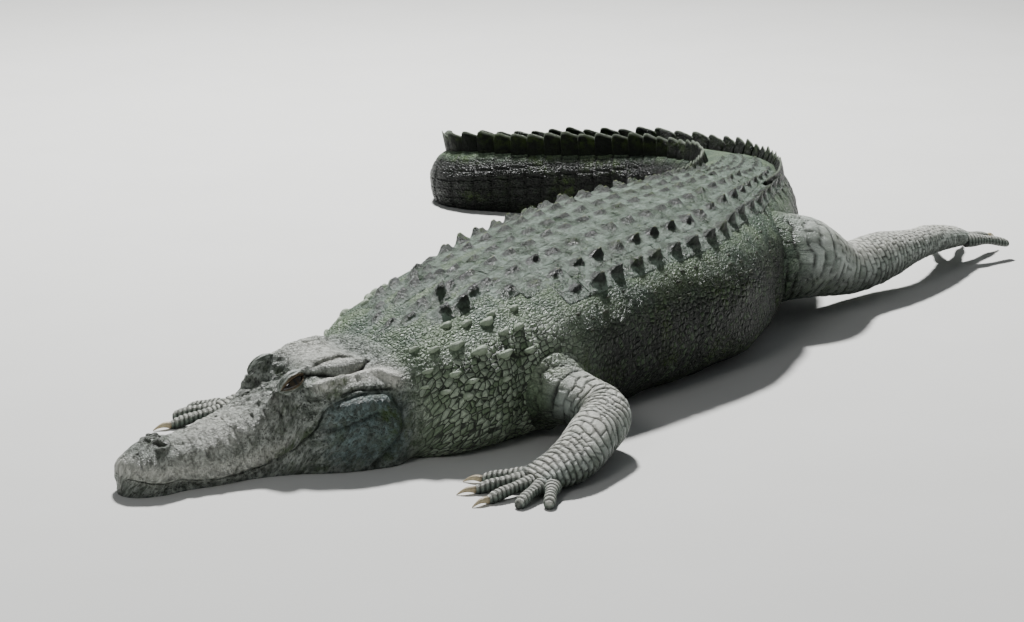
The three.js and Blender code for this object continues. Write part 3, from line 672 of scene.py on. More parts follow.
def pale_highlight_of(s, z, head_points):
    """Where pale is painted: painted highlight on the jugal ridge, the table of the skull and the top of the
    snout, and a paler band along the front lips.
    """
    jugal = along_line(head_points, JUGAL[1:], 15)
    table = bump(s, 375, 55) * smoothstep(150, 168, z) * (s < 440)
    lip = fall(230, 300, s) * bump(z - MOUTH(np.minimum(s, HEAD_END)), 16, 16)
    share = z / np.maximum(CROWN(np.minimum(s, HEAD_END)), 1)
    snout = bump(s, 165, 80) * smoothstep(0.4, 0.9, share) * (s < 300)
    return np.clip(1.6 * jugal + 0.7 * table + 0.7 * lip + 0.56 * snout, 0, 1)


# Legs: each joint as ((x, y, z), (half width, half height)).
LEFT_ARM = [
    ((235, 695, 92), (60, 56)), ((390, 657, 81), (46, 44)), ((490, 636, 66), (43, 43)),
    ((518, 556, 50), (42, 41)), ((536, 468, 36), (38, 31)), ((518, 402, 18), (43, 17)),
]
RIGHT_ARM = [
    ((40, 660, 105), (60, 58)), ((-35, 610, 82), (50, 50)), ((-85, 560, 58), (40, 40)),
    ((-98, 500, 46), (38, 34)), ((-105, 440, 34), (33, 25)), ((-135, 385, 20), (40, 15)),
]
LEFT_HIND = [
    ((205, 1440, 130), (72, 76)), ((308, 1540, 132), (72, 80)), ((332, 1712, 76), (52, 52)),
    ((347, 1835, 80), (48, 47)), ((358, 1990, 80), (36, 31)), ((335, 2170, 54), (46, 20)),
]
RIGHT_HIND = [
    ((80, 1590, 120), (66, 72)), ((-40, 1560, 100), (60, 62)), ((-150, 1560, 66), (48, 48)),
    ((-212, 1618, 50), (46, 42)), ((-278, 1672, 34), (36, 27)), ((-400, 1690, 18), (46, 15)),
]
# Digits: spread from the middle line in degrees, length, and whether they bear a claw.
HAND_DIGITS = [(48, 62, True), (22, 84, True), (0, 92, True), (-22, 78, False), (-46, 56, False)]
FOOT_DIGITS = [(30, 92, True), (10, 118, True), (-10, 122, True), (-32, 100, False)]
CLAW_LENGTH = 30
HAND_SPREAD = 30
FOOT_SPREAD = 34
LEGS = [
    ("arm_left", LEFT_ARM, HAND_DIGITS, HAND_SPREAD, -1),
    ("arm_right", RIGHT_ARM, HAND_DIGITS, HAND_SPREAD, 1),
    ("hind_left", LEFT_HIND, FOOT_DIGITS, FOOT_SPREAD, 1),
    ("hind_right", RIGHT_HIND, FOOT_DIGITS, FOOT_SPREAD, 1),
]


def smooth_line(points, u):
    """Centripetal spline through the points, u from 0 to 1 over them all."""
    p = np.array(points, float)
    p = np.concatenate([[2 * p[0] - p[1]], p, [2 * p[-1] - p[-2]]])
    gap = np.linalg.norm(np.diff(p, axis=0), axis=1) ** 0.5
    places = np.asarray(u, float) * (len(points) - 1)
    i = np.clip(np.floor(places).astype(int), 0, len(points) - 2)
    t = (places - i)[:, None]
    p0, p1, p2, p3 = p[i], p[i + 1], p[i + 2], p[i + 3]
    d0, d1, d2 = gap[i][:, None], gap[i + 1][:, None], gap[i + 2][:, None]
    start = ((p1 - p0) / d0 - (p2 - p0) / (d0 + d1) + (p2 - p1) / d1) * d1
    end = ((p2 - p1) / d1 - (p3 - p1) / (d1 + d2) + (p3 - p2) / d2) * d1
    a = 2 * p1 - 2 * p2 + start + end
    b = -3 * p1 + 3 * p2 - 2 * start - end
    return ((a * t + b) * t + start) * t + p1


def body_depth(p):
    """Rough distance of points outside the body's skin, negative inside it."""
    frame_s = SPINE_S[95:460:3]
    x = np.interp(frame_s, SPINE_S, SPINE_X)
    y = np.interp(frame_s, SPINE_S, SPINE_Y)
    near = np.argmin((p[..., 0, None] - x) ** 2 + (p[..., 1, None] - y) ** 2, -1)
    s = frame_s[near]
    turn = np.interp(s, SPINE_S, SPINE_TURN)
    side = (p[..., 0] - x[near]) * np.sin(turn) - (p[..., 1] - y[near]) * np.cos(turn)
    waist, n, tall = outline(s, p[..., 2])
    size = (np.abs(side / width_at(s)) ** n + np.abs((p[..., 2] - waist) / tall) ** n) ** (1 / n)
    reach = np.hypot(side, p[..., 2] - waist)
    return reach * (1 - 1 / np.maximum(size, 1e-3))


LEG_RINGS = 190
LEG_COLUMNS = 96
ARM_FLARE = 24
HIND_FLARE = 10
SCALE_WIDTH = 25
# Pitch of the bands of scales down a leg.
ARM_BANDS = curve([
    (0, 13), (0.12, 15), (0.3, 22), (0.4, 12), (0.48, 11), (0.6, 17), (0.7, 16), (0.82, 10), (1, 9),
])
HIND_BANDS = curve([(0, 15), (0.2, 18), (0.36, 24), (0.46, 16), (0.55, 12), (0.8, 10), (1, 9)])


def leg_frame(joints, u):
    """Centre, side and upward direction, and half sizes of a leg at each u."""
    at = [j[0] for j in joints]
    centre = smooth_line(at, u)
    ahead = smooth_line(at, np.clip(u + 1e-3, 0, 1)) - smooth_line(at, np.clip(u - 1e-3, 0, 1))
    ahead /= np.linalg.norm(ahead, axis=1, keepdims=True)
    side = np.cross(ahead, [0, 0, 1])
    side /= np.linalg.norm(side, axis=1, keepdims=True)
    up = np.cross(side, ahead)
    steps = np.linspace(0, 1, len(joints))
    wide = curve([(q, j[1][0]) for q, j in zip(steps, joints)])(u)
    tall = curve([(q, j[1][1]) for q, j in zip(steps, joints)])(u)
    return centre, side, up, wide, tall


def leg_shell(joints, bands, root_flare):
    """A leg from inside the body to the knuckles, banded with scales and flared where it leaves the body."""
    u = np.linspace(0, 1, LEG_RINGS)
    centre, side, up, wide, tall = leg_frame(joints, u)
    length = np.concatenate([[0], np.cumsum(np.linalg.norm(np.diff(centre, axis=0), axis=1))])
    a = np.linspace(-np.pi / 2, 3 * np.pi / 2, LEG_COLUMNS, endpoint=False)[None]
    ring = side[:, None] * np.cos(a)[..., None] * wide[:, None, None]
    ring = ring + up[:, None] * np.sin(a)[..., None] * tall[:, None, None]
    out = ring / np.linalg.norm(ring, axis=-1, keepdims=True)
    base = centre[:, None] + ring
    off = body_depth(base)
    flare = root_flare * np.exp(-np.clip(off + 4, 0, None) / 20) * smoothstep(-70, -10, off)
    along = np.broadcast_to(length[:, None], off.shape)
    around = a * (wide + tall)[:, None] / 2
    free = smoothstep(-22, -4, off)
    pitch = bands(u)
    count = np.concatenate([[0], np.cumsum(np.diff(length) / pitch[1:])])[:, None]
    rows = count + 0.6 * noise(along / 50, around / 45, 111) + 0.3 * np.sin(a + 0.5)
    rows = rows + 0.22 * noise(along / 16, around / 18, 117)
    groove = grooves(rows, pitch[:, None], 1.7)
    size = SCALE_WIDTH * np.clip(pitch / 17, 0.7, 1.1)[:, None]
    brick = around / size + 0.5 * (np.floor(rows) % 2) + 0.12 * noise(along / 30, around / 30, 113)
    split = grooves(brick, size, 1.6)
    band = free * smoothstep(0, 0.04, u)[:, None]
    seam, number = cells(along / 14.0, around / 12.0, 0.85, 121)
    scale = smoothstep(0, 0.28, seam)
    loose = (1 - band) * smoothstep(-10, 30, off)
    plate = (1 - groove) * (1 - 0.5 * split) + 0.3 * hashed(np.floor(rows), np.floor(brick), 5)
    lift = band * (2.6 * plate - 1.6) + loose * (1.8 * scale - 0.9)
    muscle = 5.0 * noise(along / 110, around / 70, 131) + 0.8 * noise(along / 14, around / 10, 133)
    points = base + out * (lift + flare + muscle)[..., None]
    points[..., 2] = np.maximum(points[..., 2], 0.2)
    seams = band * np.maximum(groove, 0.7 * split) + loose * fall(0, 0.2, seam) * 0.9
    masks = {name: 0 * off for name in MASKS}
    masks["leg"] = smoothstep(0, 60, off)
    masks["bead"] = band * hashed(np.floor(rows), np.floor(brick), 5) + (1 - band) * number * scale
    masks["seam"] = np.clip(seams, 0, 1)
    # Painted shade on the underside of the leg.
    masks["shade"] = fall(-0.5, 0.4, out[..., 2]) * 0.8
    masks["moss"] = 0.35 * smoothstep(0.2, 0.7, noise(along / 60, around / 50, 141))
    # Painted highlight on the top of the leg, beyond its root.
    masks["pale"] = smoothstep(0.1, 0.9, out[..., 2]) * smoothstep(0.1, 0.4, u)[:, None]
    uv = np.stack([around, along + 5000], -1) * MM
    return Shell(points, uv, masks)


DIGIT_RINGS = 56
DIGIT_COLUMNS = 28
DIGIT_PITCH = 8.5


def digit_places(joints, digits, spread, inner):
    """Root, tip and direction of each digit of a hand or foot."""
    wrist, end = (np.array(joints[i][0], float) for i in (-2, -1))
    forward = np.array([end[0] - wrist[0], end[1] - wrist[1], 0])
    forward /= np.linalg.norm(forward)
    across = np.array([-forward[1], forward[0], 0]) * inner
    found = []
    for i, (turn, length, claw) in enumerate(digits):
        angle = math.radians(turn) * inner
        c, v = math.cos(angle), math.sin(angle)
        aim = np.array([forward[0] * c - forward[1] * v, forward[0] * v + forward[1] * c, 0])
        root = end + across * spread * (1 - 2 * i / (len(digits) - 1)) - forward * 16
        root[2] = max(end[2] - 3, 15)
        tip = root + aim * (length + 16)
        tip[2] = max(end[2] - 22, 6)
        found.append((root, tip, aim, claw))
    return found


def digit_shell(root, tip, number):
    """A digit with its knuckles and bands of scales."""
    t = np.linspace(0, 1, DIGIT_RINGS)
    side = np.array([tip[1] - root[1], root[0] - tip[0], 0])
    side /= np.linalg.norm(side)
    length = np.linalg.norm(tip - root)
    rounded_tip = np.sqrt(1 - np.clip((t - 0.93) / 0.09, 0, 1) ** 2)
    radius = mix(14, 8, t) * (1 + 0.12 * np.sin(3 * np.pi * t)) * rounded_tip
    centre = root + (tip - root) * t[:, None]
    centre[:, 2] += 5 * np.sin(np.pi * t)
    a = np.linspace(0, 2 * np.pi, DIGIT_COLUMNS, endpoint=False)[None]
    groove = grooves(t[:, None] * length / DIGIT_PITCH + 0 * a, DIGIT_PITCH, 1.6)
    r = radius[:, None] - 1.3 * groove * (np.sin(a) > -0.3)
    points = centre[:, None] + side * (r * np.cos(a))[..., None] + UP * (r * np.sin(a))[..., None]
    points[..., 2] = np.maximum(points[..., 2], 0.2)
    nothing = 0 * r
    masks = {name: nothing for name in MASKS}
    masks["leg"] = nothing + 1
    masks["seam"] = groove * 0.9
    # Painted shade on the underside of the digit.
    masks["shade"] = 0.7 * fall(-0.5, 0.3, np.sin(a) + nothing)
    # Painted highlight on the top of the digit.
    masks["pale"] = 0.8 * smoothstep(0.1, 0.9, np.sin(a) + nothing)
    uv = np.stack([a * radius[:, None], 7000 + 200 * number + t[:, None] * length + 0 * a], -1) * MM
    return Shell(points, uv, masks)


def make_skin():
    """One skin over head, body, legs and digits."""
    shells = [body_shell()]
    number = 0
    for name, joints, digits, spread, inner in LEGS:
        bands, flare = (ARM_BANDS, ARM_FLARE) if name.startswith("arm") else (HIND_BANDS, HIND_FLARE)
        shells.append(leg_shell(joints, bands, flare))
        for root, tip, _, _ in digit_places(joints, digits, spread, inner):
            shells.append(digit_shell(root, tip, number))
            number += 1
    return make_mesh("skin", *joined(shells))


# Coat pieces lie on an unwrap of the skin by length along the body and arc across it.
UNWRAP_LENGTH = 3600
UNWRAP_ACROSS = 1200
PATCH = 0.003


def bake_place(s, arc, local_u, local_v):
    """A patch for one scute, leaf or tubercle at its root's place on the unwrap of the skin."""
    u = s / UNWRAP_LENGTH + (local_u - 0.5) * PATCH
    v = 0.5 + arc / UNWRAP_ACROSS + (local_v - 0.5) * PATCH
    return np.stack(np.broadcast_arrays(u, v), -1)


def skin_frame(s, share):
    """Point, outward direction and arc of the back's skin at a signed share of the half width."""
    n = upper_at(s)
    share = np.clip(share, -0.999, 0.999)
    c = np.abs(share) ** (n / 2)
    t = np.degrees(np.arccos(c))
    t = np.where(share < 0, 180 - t, t)
    side, z = section(s, t)
    waist = waist_at(s)
    tall = back_at(s) - waist
    sine = np.sin(np.radians(t))
    out_side = np.sign(share) * c ** (2 - 2 / n) / width_at(s)
    out_z = sine ** (2 - 2 / n) / tall
    size = np.hypot(out_side, out_z)
    arc = side * (1 + 0.35 * np.abs(share) ** 3)
    return side, z, out_side / size, out_z / size, arc


def raise_from(s, share, lift, lean=0.35):
    """Skin points lifted outwards, leaning towards the tail."""
    side, z, out_side, out_z, _ = skin_frame(s, share)
    return place(s + lean * np.maximum(lift, 0), side + out_side * lift, z + out_z * lift)


def closed_patches(points, deep):
    """Closed solids from raised grids: N patches of A by C points, each closed by a fan to one deep point."""
    count, rows, columns = points.shape[:3]
    size = rows * columns + 1
    i, j = np.meshgrid(np.arange(rows - 1), np.arange(columns - 1), indexing="ij")
    a = i * columns + j
    quads = np.stack([a, a + columns, a + columns + 1, a + 1], -1).reshape(-1, 4)
    top = np.arange(columns)
    right = np.arange(1, rows) * columns + columns - 1
    bottom = (rows - 1) * columns + np.arange(columns - 2, -1, -1)
    left = np.arange(rows - 2, 0, -1) * columns
    loop = np.concatenate([top, right, bottom, left])
    fan = np.stack([loop, np.roll(loop, -1), np.full(len(loop), rows * columns)], -1)
    first = (np.arange(count) * size)[:, None, None]
    everything = np.concatenate([points.reshape(count, -1, 3), deep[:, None]], 1).reshape(-1, 3)
    return everything, (quads[None] + first).reshape(-1, 4), (fan[None] + first).reshape(-1, 3)


SCUTE_ALONG = 24
SCUTE_ACROSS = 20
KEEL = curve([(0, 0), (0.25, 0.05), (0.42, 0.4), (0.62, 0.95), (0.78, 1), (0.9, 0.45), (1, 0)])
PLATE_HEIGHT = 1.5
# The keels of the nape carry less of the painted shade down their sides than those of the back.
NUCHAL_KEEL_TONE = 0.35


def scute_list():
    """Place, share across, half width share, keel height and turn of every scute of the back."""
    found = []
    rows = len(SCUTE_ROWS)
    for n in range(12, 39):
        s = (n + 0.5) * SCUTE_PITCH
        for i, (across, keel) in enumerate(SCUTE_ROWS):
            front = smoothstep(590 + 50 * i, 700 + 60 * i, s)
            rear = fall(1640, 1800, s) if i == rows - 1 else 1 - 0.55 * smoothstep(1500, 2000, s)
            if front < 0.25 or rear < 0.3 or (i < rows - 1 and s > 2100 - 140 * i):
                continue
            inner = 0 if i == 0 else (SCUTE_ROWS[i - 1][0] + across) / 2
            outer = (across + SCUTE_ROWS[i + 1][0]) / 2 if i + 1 < rows else across + 0.085
            spread = float(scute_spread(min(s, TRUNK_END)))
            for mirror in (1, -1):
                middle = mirror * (inner + outer) / 2 * spread
                vary = rng.uniform(0.75, 1.25)
                found.append((s + rng.uniform(-3, 3), middle, (outer - inner) / 2 * spread * 1.08,
                              keel * front * rear * vary, mirror * (across * spread - abs(middle)), i))
    return np.array(found)


# Scutes of the nape: distance, share of the half width, half width as a share, and height.
NUCHALS = [
    (504, 0.1, 0.07, 7), (530, 0.2, 0.08, 9), (567, 0.36, 0.1, 15), (566, 0.13, 0.09, 14),
    (598, 0.14, 0.1, 20), (606, 0.37, 0.1, 18), (632, 0.12, 0.09, 14), (640, 0.31, 0.09, 13),
    (664, 0.12, 0.09, 10), (676, 0.3, 0.09, 10), (692, 0.47, 0.08, 9),
]
SCUTE_KIND_NUCHAL = 9


def nuchal_list():
    """The shield of large scutes on the nape, mirrored, with smaller ones before and behind."""
    found = []
    for s, share, half, keel in NUCHALS:
        for mirror in (1, -1):
            at = s + rng.uniform(-4, 4)
            found.append((at, mirror * share, half, keel * rng.uniform(0.85, 1.15), 0, SCUTE_KIND_NUCHAL))
    return np.array(found)


def make_scutes(name, scutes, length):
    """Keeled plates on the skin, each a closed solid."""
    a = np.linspace(-1, 1, SCUTE_ALONG)[None, :, None]
    c = np.linspace(-1, 1, SCUTE_ACROSS)[None, None, :]
    s0, share0, half, keel, off, kind = (v[:, None, None] for v in scutes.T)
    edge = np.clip(1 - np.abs(a) ** 5, 0, 1) * np.clip(1 - np.abs(c) ** 5, 0, 1)
    s = s0 + a * length / 2
    share = share0 + c * half * (1 - 0.08 * np.abs(a) ** 3)
    number = np.arange(len(scutes))[:, None, None]
    ridge_at = off / np.maximum(half, 1e-6)
    nuchal = kind == SCUTE_KIND_NUCHAL
    wide = np.where(nuchal, 0.5, 0.22) + 0.14 * hashed(number, 3, 5)
    ridge = np.exp(-(np.abs(c - ridge_at + 0.06 * a) / wide) ** np.where(nuchal, 1.8, 1.35))
    spine = KEEL((a + 1) / 2) * ridge
    wrinkle = 1.1 * noise(a * 3 + number * 7, c * 4, 151) + 1.1 * noise(a * 7 + number * 3, c * 8, 153)
    ray = 0.3 * np.sin(np.arctan2(c, a + 0.2) * 14 + number) * (1 - ridge)
    lift = -0.3 + (PLATE_HEIGHT + 0.3) * edge ** 0.5 + 1.15 * keel * spine + (wrinkle + ray) * edge
    points = raise_from(s, share, lift, 0.12)
    deep = raise_from(s0[:, 0, 0], share0[:, 0, 0], np.full(len(scutes), -6.0))
    points, quads, triangles = closed_patches(points, deep)
    _, _, _, _, arc = skin_frame(s0, share0)
    uv = bake_place(s0, arc, (a + 1) / 2 + 0 * c, (c + 1) / 2 + 0 * a)
    deep_uv = bake_place(s0[:, 0, 0], arc[:, 0, 0], 0.5, 0.5)
    uv = np.concatenate([uv.reshape(len(scutes), -1, 2), deep_uv[:, None]], 1).reshape(-1, 2)
    masks = {
        "keel": spine * np.where(nuchal, NUCHAL_KEEL_TONE, 1),
        "tone": hashed(number, 1, 7),
        "moss": smoothstep(0.55, 0.8, hashed(number, 5, 9)),
    }
    masks = {key: with_means(np.broadcast_to(value, lift.shape), 1) for key, value in masks.items()}
    return make_mesh(name, points, quads, triangles, uv, masks, "OFBake")


def with_means(value, extra):
    """A mask's values, with each solid's mean added for its extra points."""
    flat = value.reshape(len(value), -1)
    return np.concatenate([flat] + extra * [flat.mean(1, keepdims=True)], 1).ravel()


def capped_faces(count, rows, columns):
    """Faces of count closed tubes, each of rows of points with one more point over either end."""
    size = rows * columns + 2
    quads = grid_faces(rows, columns)
    j = np.arange(columns)
    k = (j + 1) % columns
    last = (rows - 1) * columns
    caps = np.concatenate([
        np.stack([j, k, np.full(columns, size - 2)], -1),
        np.stack([last + k, last + j, np.full(columns, size - 1)], -1),
    ])
    first = (np.arange(count) * size)[:, None, None]
    quads = quads[:, [0, 3, 2, 1]]
    return (quads[None] + first).reshape(-1, 4), (caps[None] + first).reshape(-1, 3)


LEAF_ALONG = 20
LEAF_ROUND = 18
LEAF_PROFILE = curve([(0, 0.62), (0.15, 0.76), (0.45, 0.89), (0.78, 1), (0.92, 0.96), (1, 0.66)])


def leaf_list():
    """Start, signed side, height and half thickness of each leaf of the tail's crest."""
    found = []
    for n in range(int(1600 / CREST_PITCH), int(3390 / CREST_PITCH)):
        s = n * CREST_PITCH + CREST_PITCH / 2
        height = float(crest_height(s)) * rng.uniform(0.9, 1.08)
        spread = min(float(crest_spread(s)), float(width_at(s)) * 0.9)
        merged = float(smoothstep(*CREST_MERGE, s))
        sides = (0,) if merged > 0.5 else (spread, -spread)
        thick = 12 if merged < 0.5 else mix(11, 4, smoothstep(2900, 3400, s))
        for side in sides:
            found.append((s, side, height, float(thick)))
    return np.array(found)


def make_crest():
    """Leaves of the tail's crest, each a closed blade rooted in the skin."""
    leaves = leaf_list()
    count = len(leaves)
    s0, side0, height, thick = (v[:, None, None] for v in leaves.T)
    a = np.linspace(0, 1, LEAF_ALONG)[None, :, None]
    w = np.linspace(0, np.pi, LEAF_ROUND)[None, None, :]
    number = np.arange(count)[:, None, None]
    rise = np.sin(w) ** 0.8
    top = height * LEAF_PROFILE(a)
    s = s0 + (a - 0.5) * (CREST_PITCH + 5)
    tapered = 0.55 + 0.45 * np.sin(np.pi * np.clip(a, 0.04, 0.96)) ** 0.5
    body = np.cos(w) * thick * (1 - 0.72 * rise) * tapered
    share = np.clip((side0 + body) / width_at(s), -0.98, 0.98)
    _, z, _, _, _ = skin_frame(s, share)
    ribs = 0.7 * np.sin(a * 21 + number) * (1 - rise) + 0.8 * noise(a * 5 + number * 3, w * 3, 161)
    lift = -7 + (top + 7) * rise + ribs * rise
    side = (side0 + body) * (1 + lift * 0.0008) - 0.4 * lift * bump(s, 2960, 80)
    points = place(s + 0.14 * np.maximum(lift, 0) * a, side, z + lift)
    ends = points.mean(2)[:, [0, -1]]
    everything = np.concatenate([points.reshape(count, -1, 3), ends], 1).reshape(-1, 3)
    uv = bake_place(s0, side0, a + 0 * w, w / np.pi + 0 * a).reshape(count, -1, 2)
    end_uv = np.repeat(bake_place(s0[:, 0], side0[:, 0], 0.5, 0.5), 2, 1)
    uv = np.concatenate([uv, end_uv], 1).reshape(-1, 2)
    masks = {"keel": rise, "tone": hashed(number, 1, 17), "moss": hashed(number, 4, 19) * 0.5}
    masks = {key: with_means(np.broadcast_to(value, lift.shape), 2) for key, value in masks.items()}
    faces = capped_faces(count, LEAF_ALONG, LEAF_ROUND)
    return make_mesh("tail_crest", everything, *faces, uv, masks, "OFBake")


# Bosses on the side of the neck: distance, angle up the side in degrees, and radius.
NECK_BOSSES = [
    (517, 51, 7), (545, 47, 10), (575, 38, 11), (607, 30, 10), (497, 38, 6), (525, 30, 7), (547, 22, 7),
    (503, 20, 6), (495, 58, 6), (619, 52, 10), (629, 42, 8), (657, 41, 8), (635, 55, 7), (529, 14, 6),
    (487, 27, 5), (585, 57, 8), (560, 62, 8), (648, 26, 7), (592, 16, 6), (672, 52, 7),
]


def tubercle_list():
    """Blunt cones on the sides of neck and shoulder, and low round ones in rows along the flank."""
    found = []
    for s, angle, size in NECK_BOSSES:
        share = math.cos(math.radians(angle)) ** (2 / float(upper_at(s)))
        for mirror in (1, -1):
            at = s + rng.uniform(-3, 3)
            found.append((at, mirror * share, 1.2 * size, 2 + size * rng.uniform(0.6, 0.8), 1))
    for row, share in enumerate((0.84, 0.9, 0.95)):
        for n in range(20):
            s = 780 + n * 39 + (row % 2) * 19
            if s > 1400:
                continue
            for mirror in (1, -1):
                size = rng.uniform(4, 8)
                found.append((s + rng.uniform(-9, 9), mirror * (share + rng.uniform(-0.015, 0.015)), size,
                              size * rng.uniform(0.22, 0.4), 0))
    return np.array(found)


def make_tubercles():
    """Round bosses on the skin, each a closed dome."""
    bosses = tubercle_list()
    count = len(bosses)
    s0, share0, size, tall, pale = (v[:, None, None] for v in bosses.T)
    rings, columns = 9, 18
    r = np.linspace(0, 1, rings)[None, :, None]
    a = np.linspace(0, 2 * np.pi, columns, endpoint=False)[None, None, :]
    number = np.arange(count)[:, None, None]
    wobble = 1 + 0.12 * np.sin(3 * a + 5 * hashed(number, 2, 3))
    s = s0 + size * r * np.cos(a) * 1.15 * wobble
    slope = np.sqrt(np.maximum(1 - share0**2, 0.12))
    share = share0 + size * r * np.sin(a) * wobble / width_at(s0) * slope * 0.8
    lift = tall * np.sqrt(1 - r**2) - 2.5 * r**4
    points = raise_from(s, share, lift, 0.15)
    points = np.concatenate([points[:, 1:].reshape(count, -1, 3), points[:, :1, 0],
                             raise_from(s0[:, 0, 0], share0[:, 0, 0], np.full(count, -6.0))[:, None]], 1)
    rows = rings - 1
    _, _, _, _, arc = skin_frame(s0, share0)
    uv = bake_place(s0, arc, 0.5 + 0.5 * r * np.cos(a), 0.5 + 0.5 * r * np.sin(a))
    middle = bake_place(s0[:, 0], arc[:, 0], 0.5, 0.5)
    uv = np.concatenate([uv[:, 1:].reshape(count, -1, 2), middle, middle], 1).reshape(-1, 2)

    def per_point(value):
        flat = np.broadcast_to(value, (count, rows, columns)).reshape(count, -1)
        return np.concatenate([flat, flat[:, :1], flat[:, :1]], 1).ravel()

    # keel is 1 in the middle of a neck boss and falls towards its rim, 0 on the flank; edge falls to 0 at the
    # foot. The material paints shade from both.
    masks = {"keel": per_point(pale * (1 - r[:, 1:] * 0.6)), "tone": per_point(hashed(number, 1, 23)),
             "edge": per_point(1 - r[:, 1:] ** 2), "moss": per_point(hashed(number, 6, 25) * 0.6)}
    faces = capped_faces(count, rows, columns)
    return make_mesh("tubercles", points.reshape(-1, 3), *faces, uv, masks, "OFBake")


# Directions at the left eye in (back, side, height): out of the socket, and along the slit between the lids.
EYE_OUT = np.array([-0.1, 0.86, 0.5])
EYE_STRETCH = 1.4
SLIT_SLOPE = 0.42
LID_OPENING = (15.0, 6.0)
LID_REACH = 1.5
LID_RINGS = 22
LID_COLUMNS = 96


def eye_axes(mirror):
    """Directions along the slit, up and out of the socket, and the eye's centre."""
    out = EYE_OUT / np.linalg.norm(EYE_OUT)
    back = np.array([math.cos(SLIT_SLOPE), 0.0, math.sin(SLIT_SLOPE)])
    back -= out * (back @ out)
    back /= np.linalg.norm(back)
    up = np.cross(back, out)
    up *= np.sign(up[2])
    flip = np.array([1, mirror, 1])
    side = EYE["side"] * mirror
    centre = np.array([EYE["back"], side, EYE["height"] + float(head_tip(EYE["back"], side))])
    return EYE_STRETCH * back * flip, up * flip, out * flip, centre


def from_head(p):
    """Points in the body's own axes from (back, side, height) on the head."""
    return place(p[..., 0], p[..., 1], p[..., 2])


def eye_surface(r, angle, turn):
    """Along, up and out of the socket for points at distance r and an angle from its axis."""
    return r * np.sin(angle) * np.cos(turn), r * np.sin(angle) * np.sin(turn), r * np.cos(angle) + 0 * turn


def make_eye(name, mirror):
    """The eyeball, with its iris and slit pupil looking out of the socket."""
    back, up, out, centre = eye_axes(mirror)
    theta = np.linspace(0.004, np.pi - 0.004, 48)[:, None]
    phi = np.linspace(0, 2 * np.pi, 64, endpoint=False)[None]
    bulge = 1 + 0.045 * np.exp(-((theta / 0.55) ** 2))
    r = EYE["radius"] * bulge
    x, y, o = eye_surface(r, theta, phi)
    hidden = smoothstep(0.35, -0.1, np.cos(theta))
    x, y, o = x * (1 - 0.3 * hidden), y * (1 - 0.3 * hidden), np.where(o < 0, 0.3 * o, o)
    p = centre + x[..., None] * back + y[..., None] * up + o[..., None] * out
    masks = {"eye_x": x / EYE["radius"], "eye_y": y / EYE["radius"], "eye_out": o / EYE["radius"]}
    shell = Shell(from_head(p), np.stack([theta + 0 * phi, phi + 0 * theta], -1), masks)
    return make_mesh(name, shell.points, shell.quads, shell.triangles, shell.uv, shell.masks)


def make_lids(name, mirror):
    """Upper and lower lid as one rim round the opening, thick at its edge and running out under the skin."""
    back, up, out, centre = eye_axes(mirror)
    q = np.linspace(0, 1, LID_RINGS)[:, None]
    phi = np.linspace(0, 2 * np.pi, LID_COLUMNS, endpoint=False)[None]
    sharp = np.abs(np.sin(phi)) ** 1.5 * np.sign(np.sin(phi))
    x_in, y_in = LID_OPENING[0] * np.cos(phi), LID_OPENING[1] * sharp + 0.8 * np.cos(phi) ** 2
    angle_in = np.arcsin(np.clip(np.hypot(x_in, y_in) / EYE["radius"], 0, 0.97))
    turn = np.arctan2(y_in, x_in)
    rim = np.sin(np.pi * np.clip(q * 2.6, 0, 0.5)) ** 0.7
    angle = mix(angle_in, LID_REACH, np.clip(q - 0.06, 0, 1) / 0.94)
    turn = turn + np.angle(np.exp(1j * (phi - turn))) * smoothstep(0, 1, q)
    upper = smoothstep(-0.4, 0.6, np.sin(phi))
    fold = 0.9 * np.sin(q * 26 + 2 * np.sin(phi) + 1.5 * noise(phi * 3 + 0 * q, q * 3 + 0 * phi, 173))
    fold = fold * smoothstep(0.12, 0.3, q)
    r = EYE["radius"] + 0.1 + rim * (1.4 + 2.4 * upper) + fold * rim + 1.2 * np.sin(np.pi * q)
    r = np.where(q < 0.02, EYE["radius"] - 0.8, r) - 5 * smoothstep(0.75, 1, q)
    grain = 0.6 * noise(q * 14 + 0 * phi, phi * 9 + 0 * q, 171)
    r = r + grain * rim
    x, y, o = eye_surface(r, angle, turn)
    p = centre + x[..., None] * back + y[..., None] * up + o[..., None] * out
    inner = EYE["radius"] - 3.5
    scale = inner / np.maximum(r, 1)
    under = centre + (p - centre) * scale[..., None]
    whole = np.concatenate([p, under[::-1]], 0)
    points = from_head(whole)
    rings, columns = points.shape[:2]
    i, j = np.meshgrid(np.arange(rings), np.arange(columns), indexing="ij")
    k, m = (j + 1) % columns, (i + 1) % rings
    quads = np.stack([i * columns + j, i * columns + k, m * columns + k, m * columns + j], -1).reshape(-1, 4)
    fade = np.concatenate([q + 0 * phi, (q + 0 * phi)[::-1]])
    # Corners of the opening, where the material paints shade.
    corner = smoothstep(0.5, 0.1, np.abs(np.sin(phi)) + 1.3 * q)
    corner = np.concatenate([corner, corner[::-1]])
    masks = {"keel": fade.ravel(), "corner": corner.ravel()}
    uv = np.stack([fade.ravel() * 0.03, np.tile(phi[0] * 0.01, rings)], -1)
    none = np.zeros((0, 3), int)
    return make_mesh(name, points.reshape(-1, 3), quads, none, uv, masks)


CLAW_RINGS = 26
CLAW_COLUMNS = 20


